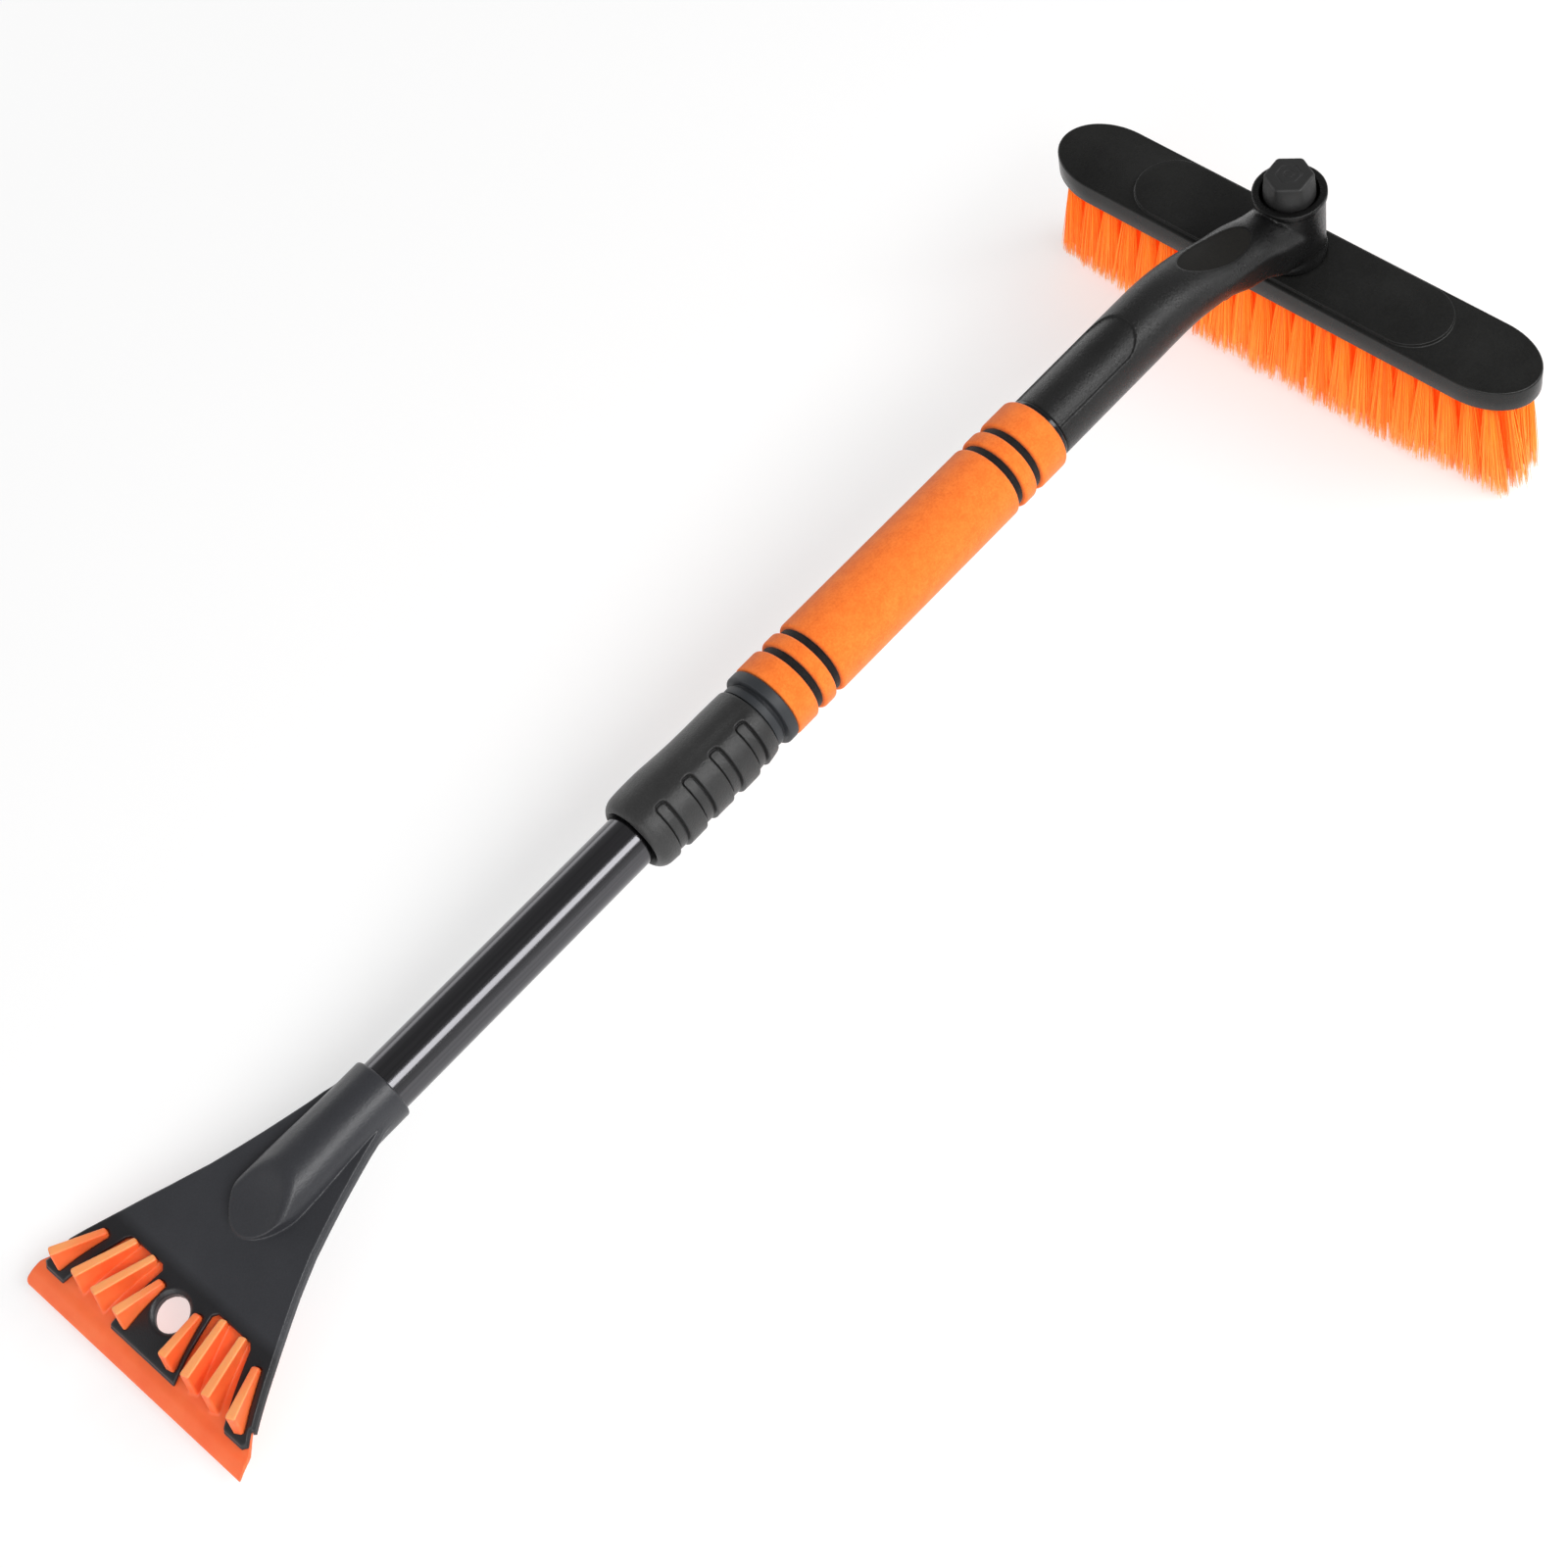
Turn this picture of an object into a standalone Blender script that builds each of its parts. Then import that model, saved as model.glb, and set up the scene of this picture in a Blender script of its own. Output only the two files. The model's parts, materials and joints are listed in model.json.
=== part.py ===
"""Snow brush with ice scraper: telescopic handle, foam grip, quick-release pivoting brush head.

Tool frame, in millimetres while building: +X runs along the shaft from the scraper to the brush,
+Z is the brush pivot axis and +Y lies across the tool. X = 0 is the top of the scraper socket and
the shaft axis is Y = Z = 0. Each mesh is written in metres, in that frame or about the axis that its
piece turns on. The whole tool is then tipped about Y so that it rests on blade and bristles.
"""

import math

import bmesh
import bpy
from mathutils import Matrix, Vector

MM = 0.001
GAP = 0.3  # free gap between neighbouring pieces

# ---------------------------------------------------------------- shaft
INNER_TUBE_R = 12.5
INNER_TUBE_WALL = 1.3
INNER_TUBE_X = (-45.0, 204.0)
OUTER_TUBE_R = 14.0
OUTER_TUBE_WALL = 1.1
OUTER_TUBE_X = (177.0, 412.0)
SLIDE_TRAVEL = 146.0  # how far the inner tube slides in, until the socket meets the collar

# ---------------------------------------------------------------- twist lock
COLLAR_X = (SLIDE_TRAVEL + 1.6, 221.9)
COLLAR_BORE_R = 15.8
COLLAR_LIP_R = 12.9
COLLAR_LIP_END = 151.6
COLLAR_RIB_R = 19.3
COLLAR_GRIP_R = 17.5
COLLAR_BULGE_R = 18.6
SLOT_FLOOR_R = 17.3
SLOT_WIDTH = 6.6
SLOT_X = (161.5, 178.0, 194.8, 211.3)
RIB_HALF_ANGLE = 66.0  # ribbed side, about -Y
FERRULE_X = (180.0, 222.3, 228.2, 233.3)  # nose start, neck start, flange start, flange end
FERRULE_NOSE_R = 15.3
FERRULE_NECK_R = 16.4
FERRULE_FLANGE_R = 18.9
COLLET_X = (152.0, 175.6)

# ---------------------------------------------------------------- foam grip
FOAM_R = 19.1
GROOVE_R = 17.1
FOAM_BORE_R = OUTER_TUBE_R + GAP
# (name, start, end, is it a black groove ring)
FOAM = (
    ("foam_end_ring_lower", 233.7, 246.8, False),
    ("foam_groove_ring_1", 246.8, 250.9, True),
    ("foam_band_lower", 250.9, 258.5, False),
    ("foam_groove_ring_2", 258.5, 262.5, True),
    ("foam_sleeve", 262.5, 381.5, False),
    ("foam_groove_ring_3", 381.5, 385.6, True),
    ("foam_band_upper", 385.6, 393.8, False),
    ("foam_groove_ring_4", 393.8, 397.9, True),
    ("foam_end_ring_upper", 397.9, 414.7, False),
)

# ---------------------------------------------------------------- quick-release coupling
INSERT_X = (384.0, 415.0, 417.6, 476.0)  # plug start, flange start, flange end, tip
INSERT_PLUG_R = 12.6
INSERT_FLANGE_R = 16.6
INSERT_R = 12.9
INSERT_BORE_R = 10.9
LATCH_X = (455.0, 467.0)  # the button that shows through the arm
LATCH_HALF_WIDTH = 3.6
LATCH_TRAVEL = 4.6  # pressed, the button clears the arm's bore

# ---------------------------------------------------------------- brush arm and pivot
ARM_END_X = 418.0
ARM_R = 16.4
ARM_BORE_R = 13.25
ARM_BORE_END = 480.0
HUB_X = 601.5
HUB_R = 17.9
HUB_TOP_Z = -8.0
HUB_BASE_Z = -48.6
HUB_FLOOR_Z = -43.0
HUB_WELL_R = 14.1
SPINDLE_R = 7.7
BUTTON_SKIRT_R = 12.6
BUTTON_HEX_R = 12.7  # across corners / 2
BUTTON_TOP_Z = 3.0
BUTTON_TRAVEL = 3.0  # pressed, the gear stops just above the washer

# ---------------------------------------------------------------- brush head
PLATE_LENGTH = 282.0
PLATE_WIDTH = 43.2
PLATE_END = 31.0  # how far along Y each rounded end reaches
PLATE_TOP_Z = -51.0
PLATE_THICK = 13.0
BOSS_LENGTH = 182.0
BOSS_WIDTH = 38.6
BOSS_END = 20.5
BOSS_TOP_Z = -49.0
BRISTLE_TIP_Z = -121.0
# how much of its full width the field of tips keeps, by distance from the middle of the brush
TIP_NARROWING = ((0.0, 1.0), (50.0, 0.97), (95.0, 0.88), (118.0, 0.76), (132.0, 0.62))
BRISTLE_ROWS = (-13.5, -4.5, 4.5, 13.5)  # root offsets across the plate
TUFTS_PER_ROW = 22
TUFT_PITCH = 12.3
ROW_FLARE = 1.4  # tip offset / root offset

# ---------------------------------------------------------------- scraper
SOCKET_R = 14.9
SOCKET_BORE_R = INNER_TUBE_R + GAP
SOCKET_FLOOR_X = -46.0
SCOOP_END_X = -83.0
SCOOP_FACET = ((-51.0, 15.8), (-90.0, -2.6))  # the line, in X and Z, of the facet cut across the nose
FAN_STEP_X = -107.5  # the body is thin beyond this, over the blade
FAN_THICK = 5.0
LOBE_THICK = 2.2
BODY_TIP_X = -142.0
BLADE_TIP_X = -150.5
BLADE_WIDTH = 133.2
HOLE_X = -121.8
HOLE_R = 7.75
HOLE_RIM_R = 9.2
# height of the body's top face along the fan
FAN_TOP = (
    (0.0, 5.0), (-39.0, 3.2), (-60.0, 2.0), (-82.0, 0.5), (-96.0, -1.2), (-106.0, -2.8),
    (-114.0, -4.1), (-122.0, -5.6), (-130.0, -7.8), (-136.0, -10.2), (-142.0, -13.3),
    (-146.0, -16.2), (-150.5, -19.8),
)
# half width of the fan along its length
FAN_HALF = (
    (-13.6, 15.4), (-18.0, 16.8), (-25.0, 18.4), (-34.0, 20.9), (-45.0, 24.1), (-56.0, 27.6),
    (-69.0, 32.0), (-85.0, 38.8), (-105.0, 48.2), (-119.6, 55.2), (-133.6, 62.0),
)
# ribs on one side: (y at the top end, x there, y at the lower end)
RIBS = ((11.2, -115.6, 14.7), (21.4, -110.4, 28.4), (33.0, -110.4, 41.0), (46.3, -115.6, 56.0))
RIB_THROUGH_LOBE = (0, 3)  # these stand in slots of the body
RIB_WIDTH = (3.4, 4.2)
RIB_TOP_Z = (-2.2, 1.4)
RIB_LOWER_X = (-137.0, -139.4)  # top edge, foot


# ================================================================= helpers
def clear_scene():
    for ob in list(bpy.data.objects):
        bpy.data.objects.remove(ob, do_unlink=True)


def material(name, color, roughness, metallic=0.0):
    """A plain Principled material."""
    mat = bpy.data.materials.new(name)
    mat.use_nodes = True
    shader = mat.node_tree.nodes["Principled BSDF"]
    shader.inputs["Base Color"].default_value = (*color, 1.0)
    shader.inputs["Roughness"].default_value = roughness
    shader.inputs["Metallic"].default_value = metallic
    mat.diffuse_color = (*color, 1.0)
    return mat


def lerp_table(table, x):
    """Linear interpolation in a table of (x, value), in either order of x."""
    rows = sorted(table)
    if x <= rows[0][0]:
        return rows[0][1]
    for (x0, v0), (x1, v1) in zip(rows, rows[1:]):
        if x <= x1:
            return v0 + (v1 - v0) * (x - x0) / (x1 - x0)
    return rows[-1][1]


def new_object(name, bm, mat, origin=(0.0, 0.0, 0.0), smooth=False):
    """A scene object from a mesh in millimetres of the tool frame."""
    bmesh.ops.remove_doubles(bm, verts=bm.verts, dist=0.001)
    bmesh.ops.recalc_face_normals(bm, faces=bm.faces)
    if bm.calc_volume() < 0:
        bmesh.ops.reverse_faces(bm, faces=bm.faces)
    pivot = Vector(origin)
    for v in bm.verts:
        v.co = (v.co - pivot) * MM
    mesh = bpy.data.meshes.new(name)
    bm.to_mesh(mesh)
    bm.free()
    mesh.materials.append(mat)
    for poly in mesh.polygons:
        poly.use_smooth = smooth
    ob = bpy.data.objects.new(name, mesh)
    ob.location = pivot * MM
    bpy.context.collection.objects.link(ob)
    return ob


def ring_surface(bm, loops, closed_along):
    """Quads between equal vertex loops; closed_along joins the last loop to the first."""
    rings = [[bm.verts.new(p) for p in loop] for loop in loops]
    count = len(rings[0])
    last = len(rings) if closed_along else len(rings) - 1
    for i in range(last):
        a, b = rings[i], rings[(i + 1) % len(rings)]
        for k in range(count):
            j = (k + 1) % count
            bm.faces.new((a[k], a[j], b[j], b[k]))
    return rings


def circle(axis, at, r, count, centre=(0.0, 0.0)):
    """A circle about the X axis (centre in Y, Z) or about a Z axis (centre in X, Y)."""
    points = []
    for k in range(count):
        t = 2 * math.pi * k / count
        u, v = centre[0] + r * math.cos(t), centre[1] + r * math.sin(t)
        points.append((at, u, v) if axis == "X" else (u, v, at))
    return points


def lathe_ring(axis, profile, count, centre=(0.0, 0.0)):
    """A hollow turned body: the profile is a closed loop of (station, radius)."""
    bm = bmesh.new()
    loops = [circle(axis, at, r, count, centre) for at, r in profile]
    ring_surface(bm, loops, True)
    return bm


def lathe_solid(axis, profile, count, centre=(0.0, 0.0)):
    """A turned body without a bore: the profile runs from one end to the other."""
    bm = bmesh.new()
    loops = [circle(axis, at, r, count, centre) for at, r in profile]
    rings = ring_surface(bm, loops, False)
    bm.faces.new(rings[0])
    bm.faces.new(rings[-1])
    return bm


def tube(x0, x1, outer, inner, count=32, chamfer=0.0):
    """A plain tube along X, with a small chamfer on its outer ends."""
    profile = [(x0, inner), (x0, outer - chamfer), (x0 + chamfer, outer)]
    profile += [(x1 - chamfer, outer), (x1, outer - chamfer), (x1, inner)]
    if chamfer == 0.0:
        profile = [(x0, inner), (x0, outer), (x1, outer), (x1, inner)]
    return lathe_ring("X", profile, count)


def prism(points, z0, z1):
    """A straight prism over a polygon in the XY plane."""
    bm = bmesh.new()
    low = [bm.verts.new((x, y, z0)) for x, y in points]
    high = [bm.verts.new((x, y, z1)) for x, y in points]
    bm.faces.new(low)
    bm.faces.new(high)
    for k in range(len(points)):
        j = (k + 1) % len(points)
        bm.faces.new((low[k], low[j], high[j], high[k]))
    return bm


def side_prism(outline, half_width):
    """A prism across the tool, from its outline in X and Z."""
    bm = bmesh.new()
    near = [bm.verts.new((x, -half_width, z)) for x, z in outline]
    far = [bm.verts.new((x, half_width, z)) for x, z in outline]
    bm.faces.new(near)
    bm.faces.new(far)
    for k in range(len(outline)):
        j = (k + 1) % len(outline)
        bm.faces.new((near[k], near[j], far[j], far[k]))
    return bm


def box(lo, hi):
    return prism([(lo[0], lo[1]), (hi[0], lo[1]), (hi[0], hi[1]), (lo[0], hi[1])], lo[2], hi[2])


def stadium(length, width, end, arc=10, centre=(0.0, 0.0)):
    """A round-ended outline with its long side along Y. Each end is a half ellipse, end long."""
    r = width / 2
    half = length / 2 - end
    points = []
    for k in range(arc + 1):
        t = math.pi * k / arc
        points.append((centre[0] + r * math.cos(t), centre[1] + half + end * math.sin(t)))
    for k in range(arc + 1):
        t = math.pi * (1 + k / arc)
        points.append((centre[0] + r * math.cos(t), centre[1] - half + end * math.sin(t)))
    return points


def combine(ob, others, operation):
    """Apply exact booleans of the other objects to ob, then remove them."""
    for other in others:
        mod = ob.modifiers.new("cut", "BOOLEAN")
        mod.operation = operation
        mod.solver = "EXACT"
        mod.object = other
    bpy.context.view_layer.update()
    depsgraph = bpy.context.evaluated_depsgraph_get()
    mesh = bpy.data.meshes.new_from_object(ob.evaluated_get(depsgraph))
    materials = list(ob.data.materials)
    ob.modifiers.clear()
    ob.data = mesh
    mesh.materials.clear()
    for mat in materials:
        mesh.materials.append(mat)
    for poly in mesh.polygons:
        poly.material_index = 0
    for other in others:
        bpy.data.objects.remove(other, do_unlink=True)
    bm = bmesh.new()
    bm.from_mesh(mesh)
    bmesh.ops.remove_doubles(bm, verts=bm.verts, dist=0.00001)
    bmesh.ops.dissolve_degenerate(bm, edges=bm.edges, dist=0.00001)
    bm.to_mesh(mesh)
    bm.free()
    return ob


def slice_and_bend(ob, stations, rise):
    """Cut the flat mesh across X at the stations, then lift each vertex by rise(x, z)."""
    bm = bmesh.new()
    bm.from_mesh(ob.data)
    for x in stations:
        geom = bm.verts[:] + bm.edges[:] + bm.faces[:]
        bmesh.ops.bisect_plane(bm, geom=geom, plane_co=(x * MM, 0, 0), plane_no=(1, 0, 0))
    for v in bm.verts:
        v.co.z = rise(v.co.x / MM, v.co.z / MM) * MM
    bmesh.ops.triangulate(bm, faces=[f for f in bm.faces if len(f.verts) > 4])
    bm.to_mesh(ob.data)
    bm.free()


def fan_top(x):
    return lerp_table(FAN_TOP, x)


# ================================================================= scraper
def rib_solid(index, side, grow=0.0):
    """One ice rib as a wedge: top edge nearly level, foot on the blade."""
    y_top, x_top, y_low = RIBS[index]
    w0, w1 = RIB_WIDTH[0] / 2 + grow, RIB_WIDTH[1] / 2 + grow
    x_low, x_foot = RIB_LOWER_X[0] - grow, RIB_LOWER_X[1] - grow
    x_top = x_top + grow
    z_top0, z_top1 = RIB_TOP_Z[0] + grow, RIB_TOP_Z[1] + grow
    bm = bmesh.new()
    rows = (
        (x_top, y_top, w0, z_top0, fan_top(x_top) - LOBE_THICK - 1.4),
        (x_low, y_low - 0.3, w1, z_top1, fan_top(x_low) - LOBE_THICK - 1.4),
    )
    top = []
    low = []
    for x, y, w, z1, z0 in rows:
        top.append([bm.verts.new((x, side * (y + s * w), z1)) for s in (-1, 1)])
        low.append([bm.verts.new((x, side * (y + s * w), z0)) for s in (-1, 1)])
    foot_z = fan_top(x_foot) - LOBE_THICK - 1.4
    foot = [bm.verts.new((x_foot, side * (y_low + s * w1), foot_z)) for s in (-1, 1)]
    low[1] = foot
    bm.faces.new((top[0][0], top[0][1], top[1][1], top[1][0]))
    bm.faces.new((low[0][0], low[0][1], low[1][1], low[1][0]))
    bm.faces.new((top[0][0], top[0][1], low[0][1], low[0][0]))
    bm.faces.new((top[1][0], top[1][1], low[1][1], low[1][0]))
    for s in (0, 1):
        bm.faces.new((top[0][s], top[1][s], low[1][s], low[0][s]))
    return bm


def window_outline(side):
    """The opening of the body over the two middle ribs, open towards the blade edge."""
    y = side
    return [
        (-110.4, y * 17.2), (-110.4, y * 36.4), (-112.4, y * 38.4), (-141.0, y * 49.8),
        (-144.5, y * 52.5), (-150.0, y * 53.0), (-150.0, y * 17.5), (-144.5, y * 18.0),
        (-141.0, y * 20.2), (-112.4, y * 15.4),
    ]


def body_outline():
    """The fan with its notched lower corners, one side then the other."""
    right = [(x, -w) for x, w in FAN_HALF]
    right += [(-134.0, -60.6), (-139.5, -63.6), (-141.3, -63.2), (BODY_TIP_X, -61.5)]
    left = [(x, -y) for x, y in reversed(right)]
    return right + left


def build_scraper(mats):
    plate = new_object("scraper_body", prism(body_outline(), -8.0, 0.0), mats["body"])
    cutters = [new_object("cutter", prism(window_outline(s), -12.0, 4.0), mats["body"]) for s in (-1, 1)]
    hole = lathe_solid("Z", [(-12.0, HOLE_R), (4.0, HOLE_R)], 24, (HOLE_X, 0.0))
    cutters.append(new_object("cutter", hole, mats["body"]))
    combine(plate, cutters, "DIFFERENCE")

    def body_rise(x, z):
        top = fan_top(x)
        if z > -1.0:
            return top
        return top - (FAN_THICK if x > FAN_STEP_X + 0.05 else LOBE_THICK)

    stations = [x for x, _ in FAN_TOP[1:10]] + [FAN_STEP_X + 0.2, FAN_STEP_X]
    slice_and_bend(plate, stations, body_rise)
    slots = [
        new_object("cutter", rib_solid(i, s, GAP), mats["body"]) for i in RIB_THROUGH_LOBE for s in (-1, 1)
    ]
    combine(plate, slots, "DIFFERENCE")

    nose = [(-58.0, 14.6), (-66.0, 13.6), (-73.0, 11.4), (-78.5, 8.0), (SCOOP_END_X, 3.0)]
    socket = lathe_solid("X", [(0.0, SOCKET_R - 0.5), (-0.5, SOCKET_R), (-50.0, SOCKET_R)] + nose, 28)
    socket = new_object("cutter", socket, mats["body"])
    facet = side_prism([SCOOP_FACET[0], (-51.0, 17.0), (-90.0, 17.0), SCOOP_FACET[1]], 20.0)
    combine(socket, [new_object("cutter", facet, mats["body"])], "DIFFERENCE")
    combine(plate, [socket], "UNION")
    bore = lathe_solid("X", [(SOCKET_FLOOR_X, SOCKET_BORE_R), (5.0, SOCKET_BORE_R)], 28)
    combine(plate, [new_object("cutter", bore, mats["body"])], "DIFFERENCE")

    half = BLADE_WIDTH / 2
    outline = [
        (FAN_STEP_X - GAP, -47.5), (-133.0, -59.0), (-141.0, -half + 1.6), (BLADE_TIP_X, -half),
        (BLADE_TIP_X, half), (-141.0, half - 1.6), (-133.0, 59.0), (FAN_STEP_X - GAP, 47.5),
    ]
    blade = new_object("scraper_blade", prism(outline, -8.0, 0.0), mats["blade"])
    hole = lathe_solid("Z", [(-12.0, HOLE_R + 0.8), (4.0, HOLE_R + 0.8)], 24, (HOLE_X, 0.0))
    combine(blade, [new_object("cutter", hole, mats["blade"])], "DIFFERENCE")

    def blade_rise(x, z):
        top = fan_top(x) - LOBE_THICK - GAP
        if x < -145.0:
            top = fan_top(x) - 1.6
        thick = lerp_table(((-150.5, 1.0), (-142.0, 2.6), (-107.0, 2.2)), x)
        return top if z > -1.0 else top - thick

    slice_and_bend(blade, [x for x, _ in FAN_TOP[6:12]], blade_rise)
    ribs = [new_object("cutter", rib_solid(i, s), mats["blade"]) for i in range(len(RIBS)) for s in (-1, 1)]
    combine(blade, ribs, "UNION")
    return [plate, blade]


# ================================================================= twist lock
def collar_radius(x, angle):
    """Outer radius of the lock collar: smooth grip, ribbed side about -Y, bulged lower end."""
    grip = lerp_table(
        ((COLLAR_X[0], 14.6), (149.6, 16.9), (153.0, 18.1), (157.0, COLLAR_BULGE_R), (173.0, COLLAR_BULGE_R),
         (190.0, COLLAR_GRIP_R), (217.0, COLLAR_GRIP_R), (COLLAR_X[1], 16.6)), x)
    rib = lerp_table(
        ((COLLAR_X[0], 14.6), (149.6, 17.0), (153.0, 18.7), (156.0, COLLAR_RIB_R),
         (219.0, COLLAR_RIB_R), (COLLAR_X[1], 18.4)), x)
    away = abs((math.degrees(angle) - 180.0 + 180.0) % 360.0 - 180.0)
    share = min(max((RIB_HALF_ANGLE + 8.0 - away) / 12.0, 0.0), 1.0)
    r = grip + (rib - grip) * share
    if away < RIB_HALF_ANGLE and any(abs(x - s) < SLOT_WIDTH / 2 - 0.2 for s in SLOT_X):
        r = min(r, SLOT_FLOOR_R)
    return r


def build_collar(mat):
    stations = [COLLAR_X[0], 149.6, 153.0, 156.0]
    for s in SLOT_X:
        half = SLOT_WIDTH / 2
        stations += [s - half, s - half + 0.6, s + half - 0.6, s + half]
    stations += [217.0, 219.0, COLLAR_X[1]]
    count = 36
    bm = bmesh.new()
    loops = []
    for x in sorted(stations):
        loop = []
        for k in range(count):
            t = 2 * math.pi * k / count
            r = collar_radius(x, t)
            loop.append((x, r * math.cos(t), r * math.sin(t)))
        loops.append(loop)
    for x, r in ((COLLAR_X[1], COLLAR_BORE_R), (COLLAR_LIP_END, COLLAR_BORE_R),
                 (COLLAR_LIP_END, COLLAR_LIP_R), (COLLAR_X[0], COLLAR_LIP_R)):
        loops.append(circle("X", x, r, count))
    ring_surface(bm, loops, True)
    return new_object("lock_collar", bm, mat, smooth=True)


def build_collet(mat):
    """The split gripping sleeve inside the collar: a ring with one slit."""
    x0, x1 = COLLET_X
    slit = math.radians(9.0)
    count = 26
    bm = bmesh.new()
    loops = []
    for k in range(count + 1):
        t = slit + (2 * math.pi - 2 * slit) * k / count
        c, s = math.cos(t), math.sin(t)
        profile = ((x0, 12.85), (x0, 14.6), (x0 + 5.0, 15.4), (x1, 15.4), (x1, 12.85))
        loops.append([(x, r * c, r * s) for x, r in profile])
    rings = ring_surface(bm, loops, False)
    bm.faces.new(rings[0])
    bm.faces.new(rings[-1])
    return new_object("lock_collet", bm, mat, smooth=True)


def build_shaft(mats):
    made = []
    wall = INNER_TUBE_R - INNER_TUBE_WALL
    made.append(new_object("inner_tube", tube(*INNER_TUBE_X, INNER_TUBE_R, wall), mats["tube"], smooth=True))
    x = INNER_TUBE_X[1]
    plug = [(x - 10.0, wall - GAP - 1.4), (x - 10.0, wall - GAP), (x + GAP, wall - GAP),
            (x + GAP, INNER_TUBE_R + 0.15), (x + 4.0, INNER_TUBE_R + 0.15), (x + 4.0, wall - GAP - 1.4)]
    made.append(new_object("inner_tube_plug", lathe_ring("X", plug, 24), mats["nylon"], smooth=True))
    wall = OUTER_TUBE_R - OUTER_TUBE_WALL
    made.append(new_object("outer_tube", tube(*OUTER_TUBE_X, OUTER_TUBE_R, wall), mats["tube"], smooth=True))
    nose, neck, flange, end = FERRULE_X
    bore = OUTER_TUBE_R + GAP
    profile = [(nose, bore), (nose, FERRULE_NOSE_R), (neck, FERRULE_NOSE_R), (neck, FERRULE_NECK_R),
               (flange, FERRULE_NECK_R), (flange, FERRULE_FLANGE_R - 0.5),
               (flange + 0.5, FERRULE_FLANGE_R), (end, FERRULE_FLANGE_R), (end, bore)]
    made.append(new_object("lock_ferrule", lathe_ring("X", profile, 32), mats["body"], smooth=True))
    made.append(build_collar(mats["grip"]))
    made.append(build_collet(mats["nylon"]))
    return made


def build_foam(mats):
    made = []
    for name, x0, x1, groove in FOAM:
        r = GROOVE_R if groove else FOAM_R
        half = GAP / 2
        bm = tube(x0 + half, x1 - half, r, FOAM_BORE_R, 32, 0.0 if groove else 0.8)
        made.append(new_object(name, bm, mats["foam_black" if groove else "foam"], smooth=True))
    return made


# ================================================================= coupling
def build_coupling(mats):
    plug, flange, flange_end, tip = INSERT_X
    profile = [
        (plug, INSERT_BORE_R), (plug, INSERT_PLUG_R), (flange, INSERT_PLUG_R),
        (flange, INSERT_FLANGE_R), (flange_end, INSERT_FLANGE_R), (flange_end, INSERT_R),
        (tip - 1.5, INSERT_R - 0.2), (tip, INSERT_R - 1.2), (tip, INSERT_BORE_R),
    ]
    insert = new_object("coupling_insert", lathe_ring("X", profile, 32), mats["gloss"], smooth=True)
    slot = box((424.0, -LATCH_HALF_WIDTH - 0.4, -20.0), (LATCH_X[1] + 0.6, LATCH_HALF_WIDTH + 0.4, -6.0))
    combine(insert, [new_object("cutter", slot, mats["gloss"])], "DIFFERENCE")

    x0, x1 = LATCH_X
    w = LATCH_HALF_WIDTH
    latch_tip = -(ARM_BORE_R - 0.65 + LATCH_TRAVEL)
    outline = [(424.6, -9.2), (452.0, -9.2), (x1, -9.2), (x1, -11.4), (x1 - 0.6, latch_tip + 0.6),
               (x0 + 1.6, latch_tip), (x0, -12.4), (x0 - 3.0, -11.2), (424.6, -11.2)]
    latch = new_object("latch_button", side_prism(outline, w), mats["gloss"])

    # a hairpin spring: one leg on the roof of the bore, the other under the button
    path = [(430.0, 8.6), (462.0, 8.6), (468.5, 7.2), (471.5, 2.6), (471.5, -2.4), (468.5, -6.6),
            (462.0, -8.6), (458.0, -8.7)]
    thick = 0.5
    bm = bmesh.new()
    loops = []
    for k, (x, z) in enumerate(path):
        a = path[max(k - 1, 0)]
        b = path[min(k + 1, len(path) - 1)]
        d = Vector((b[0] - a[0], b[1] - a[1])).normalized()
        nx, nz = -d.y * thick / 2, d.x * thick / 2
        loops.append([(x + nx, -3.0, z + nz), (x + nx, 3.0, z + nz), (x - nx, 3.0, z - nz), (x - nx, -3.0, z - nz)])
    rings = ring_surface(bm, loops, False)
    bm.faces.new(rings[0])
    bm.faces.new(rings[-1])
    spring = new_object("latch_spring", bm, mats["steel"])
    return [insert, latch, spring]


# ================================================================= arm, pivot
# side profile of the arm: (x, top z, bottom z)
ARM_SIDE = (
    (418.0, 15.6, -16.4), (479.0, 15.8, -16.4), (481.0, 16.6, -16.4), (487.0, 16.6, -16.3),
    (498.0, 16.2, -15.9), (506.6, 15.1, -15.6), (512.0, 14.2, -15.6), (524.5, 11.3, -16.6),
    (536.4, 6.4, -18.4), (544.0, 3.2, -21.6), (551.0, 0.4, -25.4), (558.0, -1.2, -27.8),
    (565.0, -2.4, -30.4), (571.0, -4.2, -34.6), (576.0, -7.0, -39.0), (585.0, -10.0, -43.6),
    (594.0, -12.0, -45.5),
)
# lower edge of the finger ridge, from the shaft towards the hub: (x, z)
FINGER_RIDGE = (
    (487.0, -15.4), (493.0, -17.5), (498.0, -16.2), (502.0, -15.8), (507.0, -16.6), (512.0, -20.0),
    (517.8, -21.9), (521.5, -20.4), (524.5, -18.4), (531.7, -17.6), (537.0, -20.2), (541.1, -24.8),
    (544.6, -31.0), (549.2, -33.6), (552.6, -32.4), (555.1, -31.0), (560.4, -30.6), (564.9, -33.8),
    (568.4, -38.6), (571.8, -44.3), (575.0, -42.4), (585.0, -45.0), (590.0, -45.4),
)
FINGER_HALF_WIDTH = 5.0
ARM_HALF_WIDTH = ((418.0, 16.4), (480.0, 16.4), (530.0, 16.6), (560.0, 16.8), (594.0, 15.6))


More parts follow.
